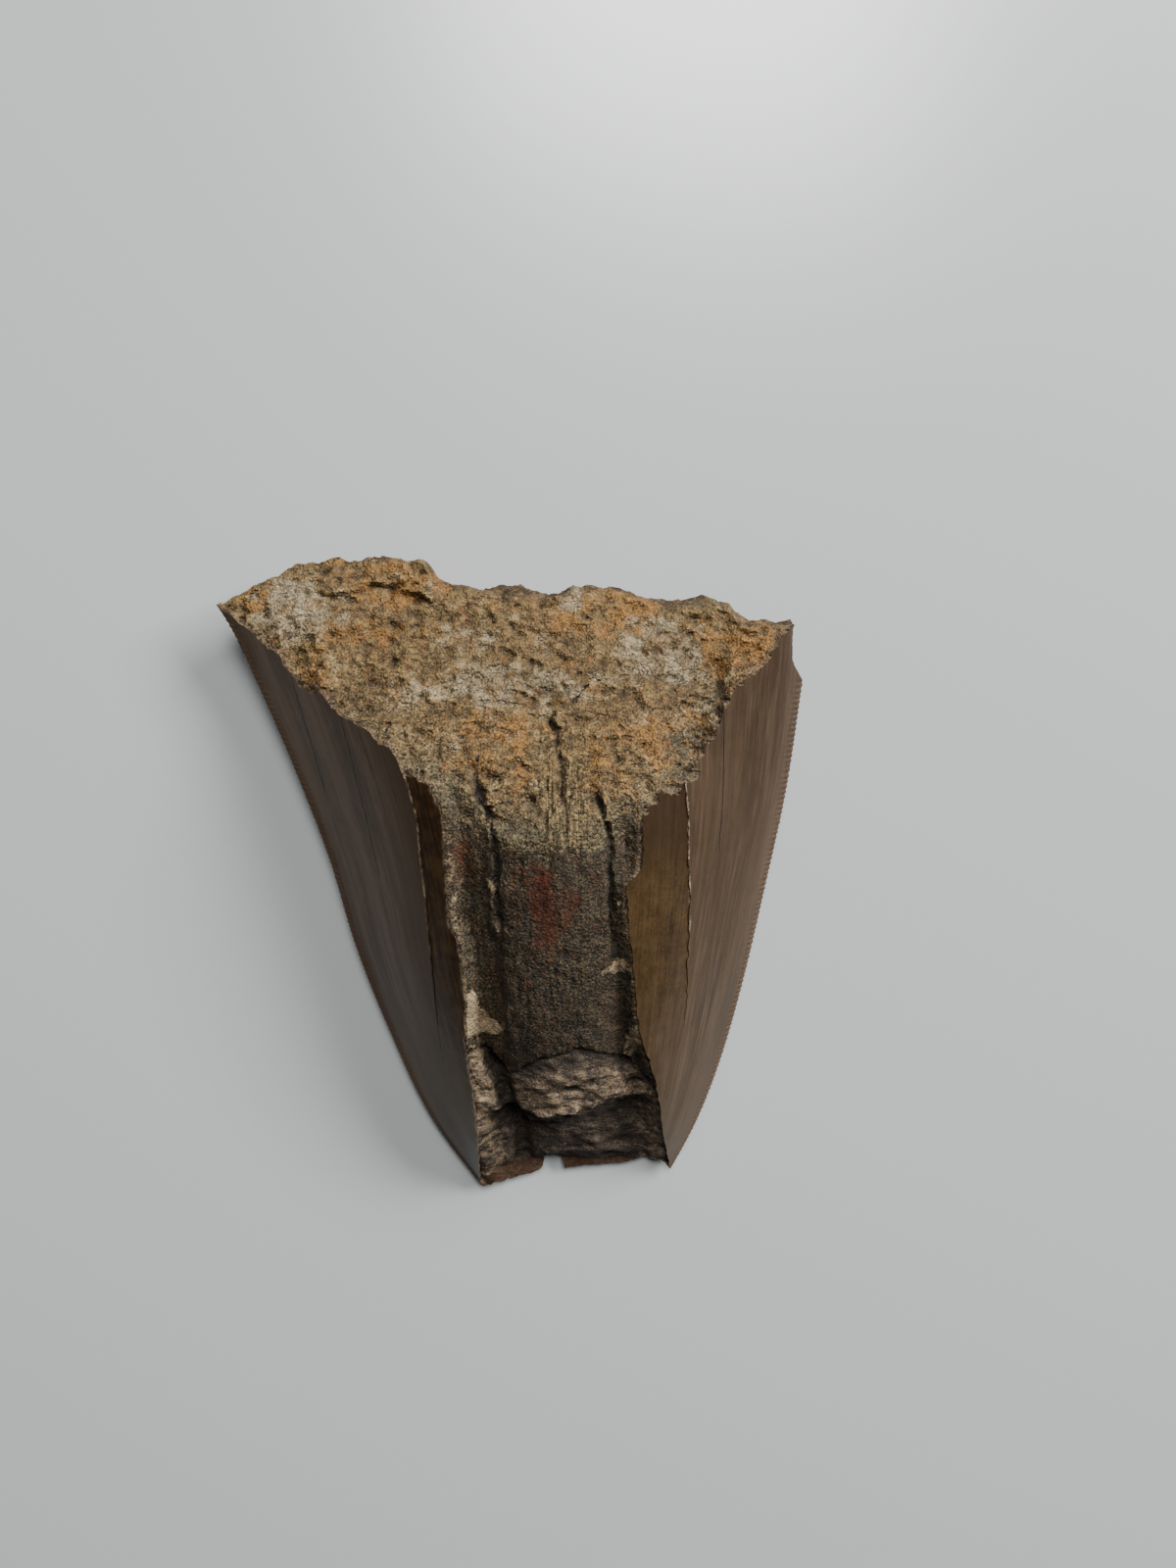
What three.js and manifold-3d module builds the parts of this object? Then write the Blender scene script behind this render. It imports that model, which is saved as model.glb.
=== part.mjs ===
// A broken megalodon tooth crown, lying on its flat labial (lip side) face.
//
// Millimetres, +Z up. +Y points to the root end, where the root has broken off, and -Y to
// the tip end, where the point has broken off. The origin is on the surface that the tooth
// lies on, under the middle of its box.
//
// The whole crown is lofted first: a D-shaped section between two cutting edges. The breaks
// are then taken out of it: the root fracture, the ragged wall at its far side, the spalled
// strip along the top with the scooped tip, the tip's end, a chip in one edge and the cracks.

import * as THREE from 'three';
import { mergeVertices } from 'three/addons/utils/BufferGeometryUtils.js';
import Module from 'manifold-3d';

// ---------------------------------------------------------------- driving dimensions

// Plan of the two cutting edges: [y, x], from beyond the tip to beyond the root.
const leftEdgePlan = [
  [-60, 2], [-48.3, -6.2], [-36.7, -13.9], [-23.2, -19.7], [-8.9, -24.7], [5, -28.2],
  [19.4, -32.9], [32.6, -37.7], [38.6, -39.9], [42.5, -41.9], [50, -47],
];
const rightEdgePlan = [
  [-60, 16], [-45.8, 24.1], [-36.7, 28.5], [-26, 32.1], [-13.7, 35.1], [-0.4, 37.7],
  [15.3, 40.4], [31, 41.8], [42, 42.8], [50, 43.5],
];
// How far each edge is lifted off the surface: [y, z].
const leftEdgeLift = [
  [-60, 1.6], [-45, 1.8], [-23, 2.2], [-9, 2.7], [5, 3.4], [19.4, 4.4], [27, 5.2],
  [33, 6], [38.6, 7.2], [42.5, 8], [50, 9.5],
];
const rightEdgeLift = [
  [-60, 1.5], [-45, 1.7], [-25.8, 2.2], [-13.6, 2.7], [-0.4, 3.4], [15.3, 5], [31, 8],
  [42, 9], [50, 9.5],
];
const edgeThickness = 0.5;

// The middle of the broken tooth's box in these plans, which becomes the origin.
const boxMiddle = [0.1, 0.5];

const crestHeight = 26.8;    // the thickest place of the whole crown
const crestY = 28;
const crestFall = 0.0022;    // how fast the crest drops away from there, per mm squared
const archPower = 1.22;      // above 1 the flanks run out hollow to the cutting edges

const flatHalf = 0.42;       // share of the half width that is flat on the labial face
const labialCurl = 1.7;      // power of its curl from there up to the edges
const tipBow = 0.8;          // lift of the labial face towards the tip end
const tipBowStart = -30;
const tipBowRun = 18;
const rootBow = 2.4;         // lift of the labial face towards the root end
const rootBowStart = 24;
const rootBowRun = 20;

const crownStart = -52;
const crownEnd = 56;
const crownAcross = 22;
const crownAlong = 42;

// Serrations on both cutting edges.
const serrationPitch = 0.8;
const serrationReach = 0.32;   // beyond the edge
const serrationRoot = 0.7;     // inside the edge
const serrationRadius = 0.43;
const serrationLong = 1.3;     // their feet stretched along the edge
const serrationFlat = 0.75;    // and flattened
const leftSerrations = [-46.6, 41];
const rightSerrations = [-44, 31.5];

// The root fracture: a rough plane that climbs from the far side towards the tip.
const fractureHeight = 8;
const fractureY = 42.5;
const fractureSlope = 0.5;
// It swells and sinks across the crown: [x, z], in its middle and along its stepped rim.
const fractureSwell = [
  [-46, 0.4], [-36, 1], [-22, 0.4], [-9, 0.5], [6, 0.4], [24, -0.4], [38, 0.6], [46, 0.8],
];
const rimSwell = [
  [-46, 0.9], [-41.8, 0.9], [-39.4, 0.5], [-36, 0.2], [-32.8, 0.8], [-32, -0.4], [-29.8, -1.2],
  [-27.6, -0.1], [-25.7, 1.2], [-21.2, 1.1], [-19, 2.2], [-17.7, 1.6], [-15.4, 2.7], [-14, 0.9],
  [-12, 1.4], [-10.4, 2.5], [-9, 1.5], [-4, 0], [6, 0.2], [17.5, -0.9], [20.5, -1], [23, -2],
  [24.4, -2.2], [26.5, -1.8], [28, -0.2], [29.2, 0], [30.1, 1.7], [31.3, 2.4], [33.5, 2.2],
  [35.7, 1.5], [38.3, 2.1], [42, 3],
];
// Two pillows swell out of its middle: [x, y] of the middle, half sizes and height.
const pillows = [
  { middle: [19.5, 21], half: [12, 11.5], height: 1 },
  { middle: [-4, 21.5], half: [9.5, 8], height: 0.7 },
];
const pillowRim = [0.45, 1.05]; // they slope down between these shares of their half sizes
const rimDepth = [1, 7];        // under the crown's face, where the rim gives way to the middle
const fractureLump = 0.55;      // height of its lumps
const fractureLumpSize = 7;
const lumpTurn = [0.8, 0.6];    // cosine and sine of the turn of the smaller lumps among them
const smallLumps = 0.45;        // their size, as a share of the large ones
// A thin upper layer is left on the tip's side of an arched ledge: [x, y].
const ledgeLine = [
  [-40, 26], [-20, 27.5], [-11.2, 27.6], [-8.1, 28.3], [-5.2, 29.4], [4.8, 28.9], [5.6, 28.3],
  [7.1, 30], [10.7, 32.3], [13.6, 32.3], [24.8, 32.2], [29.8, 29.4], [31, 24], [40, 18],
];
const ledgeStep = 1.1;
const ledgeWidth = 1.1;
// A second layer stands higher at the far side, beyond this line: [x, y].
const layerLine = [
  [-40, 44], [-27, 44.5], [-19, 45.6], [-13, 44.5], [-9, 42.7],
];
const layerStartX = [-32, -22]; // it rises out of the fracture between these
const layerEndX = [-11.9, -10.4]; // and ends in a step between these
const layerHeight = 1.3;
const layerLump = 0.6;          // its edge wanders by this much
const layerLumpSize = 1.7;

// The far side's ragged outline: [x, y].
const farSide = [
  [-60, 31], [-41.9, 42.7], [-38.4, 45.3], [-34.4, 47.2], [-31.6, 48], [-26, 48.7],
  [-17.5, 49], [-12.6, 48.4], [-10.9, 45.8], [-9.5, 45.4], [-3.1, 44.4], [1.1, 44.7], [4.3, 43.8],
  [9, 44.9], [14.5, 44.4], [17.3, 43.8], [19.7, 42.8], [25, 42.7], [28.6, 43.5],
  [31.4, 42.6], [32.3, 41.3], [34, 40.6], [37.5, 40.5], [40.1, 41.2], [54, 45],
];
const farLean = 0.25;           // the wall leans out by this much for each mm down
const farLeanFrom = 6;
const farLump = 0.6;
const farLumpSize = 6;

// The spalled strip along the top, between two ridges: [y, x].
const leftRidge = [
  [-60, -6.6], [-47.8, -6.2], [-36.6, -5.6], [-28.6, -5.9], [-18.5, -6.6], [-13.2, -6.3],
  [-8.6, -6.6], [-3.2, -7.1], [-0.8, -8.2], [7.8, -8.4], [15.1, -8.7], [17.2, -9.7], [24, -12],
];
const rightRidge = [
  [-60, 26.5], [-45.8, 24.1], [-35.8, 22.3], [-27.7, 21.2], [-16, 18.2], [-7.8, 17.4],
  [1.8, 16.5], [5, 16.3], [6.2, 17.5], [7.4, 18.4], [14.1, 18.4], [24, 19],
];
const enamelThickness = 0.6;
// Depth of the strip's floor under the whole crown's arch, along its middle: [y, depth].
const spallDepth = [
  [-60, 4], [-26, 4.2], [-18, 3.6], [-9, 2.9], [5, 2.3], [16, 2], [30, 1.8],
];
const spallWall = 0.1;          // its sides climb to the ridges over this share of its width
const sideStripShare = [0.2, 0.26]; // between these the lower strip along the left ridge ends
const sideStripDrop = 0.8;
const spallLump = 0.22;
const spallLumpSize = 4;
const spallStart = -53;
const spallEnd = 24;

// The scooped tip: an arched rim, a slab under it that ends in a ledge, and a hollow that runs
// out to the enamel fringe. Each line is [share across the strip, y].
const scoopRim = [
  [0, -20], [0.1, -20.7], [0.18, -23], [0.25, -23.8], [0.36, -21.9], [0.44, -21], [0.54, -20.3],
  [0.65, -19.5], [0.75, -20.9], [0.88, -22.7], [0.95, -25.5], [1, -28],
];
const scoopLedge = [
  [0, -33], [0.24, -31.3], [0.31, -31.8], [0.39, -32.3], [0.5, -32.1], [0.61, -31.4],
  [0.69, -30.6], [0.81, -30], [0.93, -30.2], [1, -32],
];
const scoopFoot = [
  [0, -48], [0.07, -46], [0.12, -45.2], [0.2, -44.4], [0.31, -43.8], [0.44, -43.5],
  [0.57, -43.7], [0.73, -44], [0.83, -44.3], [0.93, -45.2], [1, -46],
];
// Its height as a share of the rim's, from the rim at 0 over the ledge at 1 to the foot at 2.
const scoopProfile = [
  [0, 1], [0.05, 0.95], [0.48, 0.89], [0.57, 0.84], [0.94, 0.78], [1.06, 0.56], [1.3, 0.42],
  [1.82, 0.25], [2, 0.1],
];
// A gully parts the slab from the left wall: [y, share across the strip].
const gullyLine = [
  [-40, 0.22], [-33.5, 0.21], [-30.2, 0.18], [-26.1, 0.16], [-22.9, 0.13], [-20.7, 0.1], [-17, 0.06],
];
const gullyHalf = 0.075;
const gullyDepth = 2.2;
const scoopWallShare = 0.13;    // the scoop's side walls climb to the ridges over this share
const scoopWallPower = 1.5;
const scoopWallDrop = 1.3;
const scoopLump = 2;            // its lumps are this many times as high as the strip's
const fringeThickness = 0.9;
// The outer line of the labial enamel's fringe: [x, y], with its notch.
const fringeLine = [
  [-8, -48.9], [-6, -48.5], [-2, -47.5], [1.6, -46.8], [3.7, -45.9], [4.2, -43.2], [6.6, -43], [7.3, -45.7],
  [11, -45], [15, -45], [18, -44.5], [20, -43.7], [22.6, -44], [24.4, -46], [30, -48.6],
];

// The chip out of the right cutting edge by the root corner.
const chipCentre = [44.6, 38.4, 8];
const chipRadii = [4.7, 7.6, 12];

// Cracks, cut as narrow grooves: [x, y] along each.
const cracks = [
  {
    width: 0.9,
    depth: 1.4,
    line: [[-4.9, 20.5], [-3.1, 15.9], [-1.5, 11], [-1.6, 3.1], [-0.9, -0.7], [-1.2, -13.7]],
  },
  { width: 0.8, depth: 1.4, line: [[11.9, 17.8], [14, 11.1], [14.2, 3.6], [14.2, -0.3], [14.7, -6.6]] },
  { width: 0.8, depth: 1.1, line: [[6.4, 28.5], [6, 27], [6.7, 25.2], [7.4, 20.6], [7.2, 18.5], [8, 12]] },
  { width: 0.6, depth: 0.8, line: [[6.4, 28.5], [8.2, 29.2], [9.9, 30.6], [11.7, 32.7], [14.2, 32.2]] },
  { width: 0.5, depth: 0.7, line: [[4.6, 28.9], [1.5, 29.2], [-5.2, 29.4]] },
];
const crackTaper = 0.17;        // share of its length over which a crack runs out at each end
const crackEnd = 0.25;          // share of its width left at the very end
const crackFloor = 0.1;         // width of its bottom

const fractureFrom = [-50, 6];  // corners of the root cutter's plan
const fractureTo = [48, 53];
const fractureCells = [56, 26];
const spallCells = [20, 44];
const farFrom = -60;
const farTo = 54;
const farCells = [64, 4];
const tipCells = 40;
const clear = 12;               // cutters stand this far outside the crown

// ---------------------------------------------------------------- helpers

const { lerp, clamp, smoothstep } = THREE.MathUtils;

// A smooth value through [at, value] pairs, straight beyond both ends.
function through(pairs, at) {
  const last = pairs.length - 1;
  let i = 0;
  while (i < last - 1 && at > pairs[i + 1][0]) i += 1;
  const [start, from] = pairs[i];
  const [end, to] = pairs[i + 1];
  const slope = (k) => {
    const before = pairs[Math.max(k - 1, 0)];
    const after = pairs[Math.min(k + 1, last)];
    return (after[1] - before[1]) / (after[0] - before[0]);
  };
  if (at < start) return from + slope(i) * (at - start);
  if (at > end) return to + slope(i + 1) * (at - end);
  const span = end - start;
  const t = (at - start) / span;
  const t2 = t * t;
  const t3 = t2 * t;
  return (2 * t3 - 3 * t2 + 1) * from + (t3 - 2 * t2 + t) * span * slope(i)
    + (3 * t2 - 2 * t3) * to + (t3 - t2) * span * slope(i + 1);
}

// Straight lines through [at, value] pairs, for broken outlines.
function along(pairs, at) {
  let i = 0;
  while (i < pairs.length - 2 && at > pairs[i + 1][0]) i += 1;
  const [start, from] = pairs[i];
  const [end, to] = pairs[i + 1];
  return from + (to - from) * (at - start) / (end - start);
}

// A fixed random number between -1 and 1 for each pair of whole numbers.
function chance(i, j) {
  const value = Math.sin(127.1 * i + 311.7 * j) * 43758.5453;
  return 2 * (value - Math.floor(value)) - 1;
}

// Random rounded lumps, their tops this size apart.
function lumps(x, y, size) {
  const i = Math.floor(x / size);
  const j = Math.floor(y / size);
  const s = smoothstep(x / size - i, 0, 1);
  const t = smoothstep(y / size - j, 0, 1);
  const near = lerp(chance(i, j), chance(i + 1, j), s);
  const far = lerp(chance(i, j + 1), chance(i + 1, j + 1), s);
  return lerp(near, far, t);
}

// ---------------------------------------------------------------- surfaces of the tooth

// Where a point is across the crown: -1 on the left cutting edge, 1 on the right one.
function across(x, y) {
  const left = through(leftEdgePlan, y);
  const right = through(rightEdgePlan, y);
  return clamp((2 * x - left - right) / (right - left), -1, 1);
}

function edgeLift(w, y) {
  return lerp(through(leftEdgeLift, y), through(rightEdgeLift, y), (w + 1) / 2);
}

// The domed lingual (tongue side) face of the whole crown.
function lingual(w, y) {
  const edge = edgeLift(w, y) + edgeThickness / 2;
  const crest = crestHeight - crestFall * (y - crestY) ** 2;
  return edge + (crest - edge) * Math.max(0, 1 - w * w) ** archPower;
}

// The labial face, flat in the middle and curving up to the edges and both ends.
function labial(w, y) {
  const curl = (Math.max(0, Math.abs(w) - flatHalf) / (1 - flatHalf)) ** labialCurl;
  const edge = (edgeLift(w, y) - edgeThickness / 2) * curl;
  const tipRise = tipBow * (Math.max(0, tipBowStart - y) / tipBowRun) ** 2;
  const rootRise = rootBow * (Math.max(0, y - rootBowStart) / rootBowRun) ** 2;
  return edge + (tipRise + rootRise) * (1 - curl);
}

// The rough face where the root came off.
function rootFracture(x, y) {
  const plane = fractureHeight + fractureSlope * (fractureY - y);
  const nearRim = 1 - smoothstep(lingual(across(x, y), y) - plane, ...rimDepth);
  const swell = lerp(through(fractureSwell, x), through(rimSwell, x), nearRim);
  const half = ledgeWidth / 2;
  const upper = ledgeStep * (smoothstep(along(ledgeLine, x) - y, -half, half) - 0.5);
  const pastLine = y - along(layerLine, x) + layerLump * lumps(x, 3, layerLumpSize);
  const layer = layerHeight * smoothstep(pastLine, -half, half)
    * smoothstep(x, ...layerStartX) * (1 - smoothstep(x, ...layerEndX));
  let raised = 0;
  for (const { middle, half: [halfX, halfY], height } of pillows) {
    const out = Math.hypot((x - middle[0]) / halfX, (y - middle[1]) / halfY);
    raised += height * (1 - smoothstep(out, ...pillowRim));
  }
  const [cos, sin] = lumpTurn;
  const large = lumps(x, y, fractureLumpSize);
  const small = lumps(cos * x + sin * y, cos * y - sin * x, fractureLumpSize * smallLumps);
  return plane + swell + raised + upper + layer + fractureLump * (0.7 * large + 0.5 * small);
}

// How far down the scoop a point is: 0 at its rim, 1 at its ledge, 2 at its foot.
function scoopDown(share, y) {
  const rim = through(scoopRim, share);
  const ledge = through(scoopLedge, share);
  const foot = through(scoopFoot, share);
  return y > ledge ? (rim - y) / (rim - ledge) : 1 + (ledge - y) / (ledge - foot);
}

// The floor of the spalled strip and the scooped tip, at a share of the way across the strip.
function spallFloor(share, x, y) {
  const arch = lingual(across(x, y), y);
  const walls = smoothstep(share, 0, spallWall) * smoothstep(1 - share, 0, spallWall);
  const sideStrip = sideStripDrop * (1 - smoothstep(share, ...sideStripShare));
  const rough = spallLump * (lumps(x, y, spallLumpSize) + 0.6 * lumps(y, x, spallLumpSize * smallLumps));
  const down = clamp(scoopDown(share, y), -1, 2);
  if (down < 0) {
    return arch - lerp(enamelThickness, through(spallDepth, y) + sideStrip, walls) + rough * walls;
  }
  const rim = through(scoopRim, share);
  const rimHeight = lingual(across(x, rim), rim) - through(spallDepth, rim);
  const gully = gullyDepth * (1 - smoothstep(Math.abs(share - through(gullyLine, y)) / gullyHalf, 0.2, 1));
  const hollow = rimHeight * along(scoopProfile, down) - gully + scoopLump * rough;
  const fringe = labial(across(x, y), y) + fringeThickness;
  const wall = Math.max(0, 1 - Math.min(share, 1 - share) / scoopWallShare) ** scoopWallPower;
  return lerp(Math.max(hollow, fringe), Math.max(arch - scoopWallDrop, fringe), wall);
}

// ---------------------------------------------------------------- solids

const wasm = await Module();
wasm.setup();

// A closed geometry, turned into a solid.
function solid(geometry) {
  geometry.deleteAttribute('normal');
  geometry.deleteAttribute('uv');
  const merged = mergeVertices(geometry, 1e-5);
  return new wasm.Manifold(new wasm.Mesh({
    numProp: 3,
    vertProperties: new Float32Array(merged.attributes.position.array),
    triVerts: new Uint32Array(merged.index.array),
  }));
}

// A box of cells, each corner moved by place(point), whose coordinates run from 0 to 1.
function shaped(cellsX, cellsY, cellsZ, place) {
  const geometry = new THREE.BoxGeometry(1, 1, 1, cellsX, cellsY, cellsZ);
  const corners = geometry.attributes.position;
  const point = new THREE.Vector3();
  for (let i = 0; i < corners.count; i += 1) {
    point.fromBufferAttribute(corners, i).addScalar(0.5);
    place(point);
    corners.setXYZ(i, point.x, point.y, point.z);
  }
  return solid(geometry);
}

function wholeCrown() {
  return shaped(crownAcross, crownAlong, 1, (point) => {
    const w = 2 * point.x - 1;
    const y = lerp(crownStart, crownEnd, point.y);
    const left = through(leftEdgePlan, y);
    const right = through(rightEdgePlan, y);
    const height = point.z > 0.5 ? lingual(w, y) : labial(w, y);
    point.set(lerp(left, right, point.x), y, height);
  });
}

// One small pyramid for each serration, its foot inside the crown.
function serrations(plan, lift, [start, end], outward) {
  const teeth = [];
  let y = start;
  while (y < end) {
    const x = through(plan, y);
    const slant = through(plan, y + 1) - x;
    const outX = outward / Math.hypot(1, slant);
    const outY = -slant * outX;
    const length = serrationReach + serrationRoot;
    const tooth = new THREE.ConeGeometry(serrationRadius, length, 4);
    tooth.rotateY(Math.PI / 4);
    tooth.scale(serrationLong, 1, serrationFlat);
    tooth.rotateZ(Math.atan2(outY, outX) - Math.PI / 2);
    const middle = serrationReach - length / 2;
    tooth.translate(x + outX * middle, y + outY * middle, through(lift, y));
    teeth.push(solid(tooth));
    y += serrationPitch / Math.hypot(1, slant);
  }
  return teeth;
}

function rootCutter() {
  return shaped(...fractureCells, 1, (point) => {
    const x = lerp(fractureFrom[0], fractureTo[0], point.x);
    const y = lerp(fractureFrom[1], fractureTo[1], point.y);
    point.set(x, y, point.z > 0.5 ? crestHeight + clear : rootFracture(x, y));
  });
}

function farCutter() {
  return shaped(farCells[0], 1, farCells[1], (point) => {
    const x = lerp(farFrom, farTo, point.x);
    const z = lerp(-clear, crestHeight, point.z);
    const wall = along(farSide, x) - farLean * (z - farLeanFrom) + farLump * lumps(x, 2 * z, farLumpSize);
    point.set(x, point.y > 0.5 ? crownEnd + clear : wall, z);
  });
}

function spallCutter() {
  return shaped(...spallCells, 1, (point) => {
    const share = point.x;
    const y = lerp(spallStart, spallEnd, point.y);
    const x = lerp(through(leftRidge, y), through(rightRidge, y), share);
    point.set(x, y, point.z > 0.5 ? crestHeight + clear : spallFloor(share, x, y));
  });
}

function tipCutter() {
  const [from] = fringeLine[0];
  const [to] = fringeLine.at(-1);
  return shaped(tipCells, 1, 1, (point) => {
    const x = lerp(from, to, point.x);
    const y = point.y < 0.5 ? crownStart - clear : along(fringeLine, x);
    point.set(x, y, lerp(-clear, crestHeight + clear, point.z));
  });
}

function chipCutter() {
  const chip = new THREE.SphereGeometry(1, 18, 12);
  chip.scale(...chipRadii);
  chip.translate(...chipCentre);
  return solid(chip);
}

// A groove along a crack, as a wedge that is widest above the surface.
function crackCutter({ width, depth, line }) {
  const last = line.length - 1;
  return shaped(2 * last, 1, 1, (point) => {
    const at = point.x * last;
    const i = Math.min(Math.floor(at), last - 1);
    const [startX, startY] = line[i];
    const [endX, endY] = line[i + 1];
    const x = lerp(startX, endX, at - i);
    const y = lerp(startY, endY, at - i);
    const length = Math.hypot(endX - startX, endY - startY);
    const surface = Math.min(rootFracture(x, y), spallFloor(0.5, x, y));
    const taper = Math.min(1, Math.min(point.x, 1 - point.x) / crackTaper + crackEnd);
    const half = taper * (point.z > 0.5 ? width : crackFloor / 2);
    const away = point.y > 0.5 ? half : -half;
    const z = point.z > 0.5 ? surface + depth : surface - depth * taper;
    point.set(x - away * (endY - startY) / length, y + away * (endX - startX) / length, z);
  });
}

function tooth() {
  let body = wholeCrown();
  const teeth = [
    ...serrations(leftEdgePlan, leftEdgeLift, leftSerrations, -1),
    ...serrations(rightEdgePlan, rightEdgeLift, rightSerrations, 1),
  ];
  body = body.add(wasm.Manifold.union(teeth));
  const cutters = [rootCutter(), farCutter(), spallCutter(), tipCutter(), chipCutter()];
  for (const cutter of [...cutters, ...cracks.map(crackCutter)]) {
    body = body.subtract(cutter);
  }
  return body;
}

function toGeometry(body) {
  const mesh = body.getMesh();
  const geometry = new THREE.BufferGeometry();
  geometry.setAttribute('position', new THREE.BufferAttribute(new Float32Array(mesh.vertProperties), 3));
  geometry.setIndex(new THREE.BufferAttribute(new Uint32Array(mesh.triVerts), 1));
  geometry.translate(-boxMiddle[0], -boxMiddle[1], 0);
  geometry.computeVertexNormals();
  return geometry;
}

// ---------------------------------------------------------------- the part

const fossil = new THREE.MeshStandardMaterial({ color: 0x6f5a45, roughness: 0.6, metalness: 0 });

const toothMesh = new THREE.Mesh(toGeometry(tooth()), fossil);
toothMesh.name = 'tooth';

const part = new THREE.Group();
part.add(toothMesh);

export default part;
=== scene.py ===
import math
import bpy
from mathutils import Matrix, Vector, noise


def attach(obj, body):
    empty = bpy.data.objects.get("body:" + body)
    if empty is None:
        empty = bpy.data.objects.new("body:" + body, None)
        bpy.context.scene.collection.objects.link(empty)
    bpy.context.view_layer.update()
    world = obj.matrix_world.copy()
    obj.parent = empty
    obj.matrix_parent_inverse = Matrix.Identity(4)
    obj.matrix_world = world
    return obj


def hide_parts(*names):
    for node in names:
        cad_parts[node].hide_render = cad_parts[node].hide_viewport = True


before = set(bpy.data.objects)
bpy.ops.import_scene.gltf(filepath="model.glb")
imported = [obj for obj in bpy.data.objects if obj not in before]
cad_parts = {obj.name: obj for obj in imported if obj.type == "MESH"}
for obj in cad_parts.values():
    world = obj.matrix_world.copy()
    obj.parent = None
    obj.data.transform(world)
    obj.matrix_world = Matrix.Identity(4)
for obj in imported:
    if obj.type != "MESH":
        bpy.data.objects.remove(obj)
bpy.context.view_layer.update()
mm = 0.001


# helpers for shapes, all in millimetres

def mix(start, end, share):
    return start + (end - start) * share


def clamp(value, low=0.0, high=1.0):
    return max(low, min(high, value))


def smooth(value, low, high):
    share = clamp((value - low) / (high - low))
    return share * share * (3 - 2 * share)


def through(pairs, at):  # a smooth value through (at, value) pairs, straight beyond both ends
    last = len(pairs) - 1
    i = 0
    while i < last - 1 and at > pairs[i + 1][0]:
        i += 1

    def slope(k):
        before = pairs[max(k - 1, 0)]
        after = pairs[min(k + 1, last)]
        return (after[1] - before[1]) / (after[0] - before[0])

    start, valueStart = pairs[i]
    end, valueEnd = pairs[i + 1]
    if at < start:
        return valueStart + slope(i) * (at - start)
    if at > end:
        return valueEnd + slope(i + 1) * (at - end)
    span = end - start
    t = (at - start) / span
    t2 = t * t
    t3 = t2 * t
    return ((2 * t3 - 3 * t2 + 1) * valueStart + (t3 - 2 * t2 + t) * span * slope(i)
            + (3 * t2 - 2 * t3) * valueEnd + (t3 - t2) * span * slope(i + 1))


def along(pairs, at):  # straight lines through (at, value) pairs
    i = 0
    while i < len(pairs) - 2 and at > pairs[i + 1][0]:
        i += 1
    start, valueStart = pairs[i]
    end, valueEnd = pairs[i + 1]
    return valueStart + (valueEnd - valueStart) * (at - start) / (end - start)


def chance(i, j):  # a fixed random number between -1 and 1 for each pair of whole numbers
    value = math.sin(127.1 * i + 311.7 * j) * 43758.5453
    return 2 * (value - math.floor(value)) - 1


def lumps(x, y, size):  # random rounded lumps, the same ones as the solid has
    i = math.floor(x / size)
    j = math.floor(y / size)
    s = smooth(x / size - i, 0, 1)
    t = smooth(y / size - j, 0, 1)
    near = mix(chance(i, j), chance(i + 1, j), s)
    far = mix(chance(i, j + 1), chance(i + 1, j + 1), s)
    return mix(near, far, t)


fractal = (0.9, 2.1)  # dimension and lacunarity
fractalHeight = 1.5


def rough(x, y, z, size, octaves=3):  # natural roughness, about -1 to 1
    return noise.fractal(Vector((x, y, z)) / size, *fractal, octaves) * fractalHeight


def grains(x, y, z, size):  # packed rounded grains, -0.5 between them to 0.5 on top
    first, second = noise.voronoi(Vector((x, y, z)) / size)[0][:2]
    return clamp(second - first, 0, 0.8) / 0.8 - 0.5


# the tooth's form

crown = {
    "boxMiddle": (0.1, 0.5),  # the middle of the broken tooth's box in these plans
    "leftEdge": [(-60, 2), (-48.3, -6.2), (-36.7, -13.9), (-23.2, -19.7), (-8.9, -24.7), (5, -28.2),
                 (19.4, -32.9), (32.6, -37.7), (38.6, -39.9), (42.5, -41.9), (50, -47)],
    "rightEdge": [(-60, 16), (-45.8, 24.1), (-36.7, 28.5), (-26, 32.1), (-13.7, 35.1), (-0.4, 37.7),
                  (15.3, 40.4), (31, 41.8), (42, 42.8), (50, 43.5)],
    "leftLift": [(-60, 1.6), (-45, 1.8), (-23, 2.2), (-9, 2.7), (5, 3.4), (19.4, 4.4), (27, 5.2),
                 (33, 6), (38.6, 7.2), (42.5, 8), (50, 9.5)],
    "rightLift": [(-60, 1.5), (-45, 1.7), (-25.8, 2.2), (-13.6, 2.7), (-0.4, 3.4), (15.3, 5),
                  (31, 8), (42, 9), (50, 9.5)],
    "edgeThickness": 0.5,
    "crestHeight": 26.8,  # the highest place of the whole crown
    "crestY": 28,
    "crestFall": 0.0022,  # how fast the crest drops away from there
    "archPower": 1.22,  # above 1 the flanks run out hollow
    "flatHalf": 0.42,  # share of the half width that is flat underneath
    "curlPower": 1.7,
    "tipBow": (0.8, -30, 18),  # height, where it starts, over what length
    "rootBow": (2.4, 24, 20),
    "ripple": 0.06,  # low waves along the flanks
    "rippleInset": (0.5, 3),  # they rise between these distances in from the edges
    "restHeight": 0.4,  # and stay off the flat that the tooth rests on
    "start": -52,
    "end": 54,
    "columns": 52,
    "columnBunching": 0.75,  # towards the edges
    "rows": 530,
    "smoothAngle": 38,  # faces meeting at less shade as one
}
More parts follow.
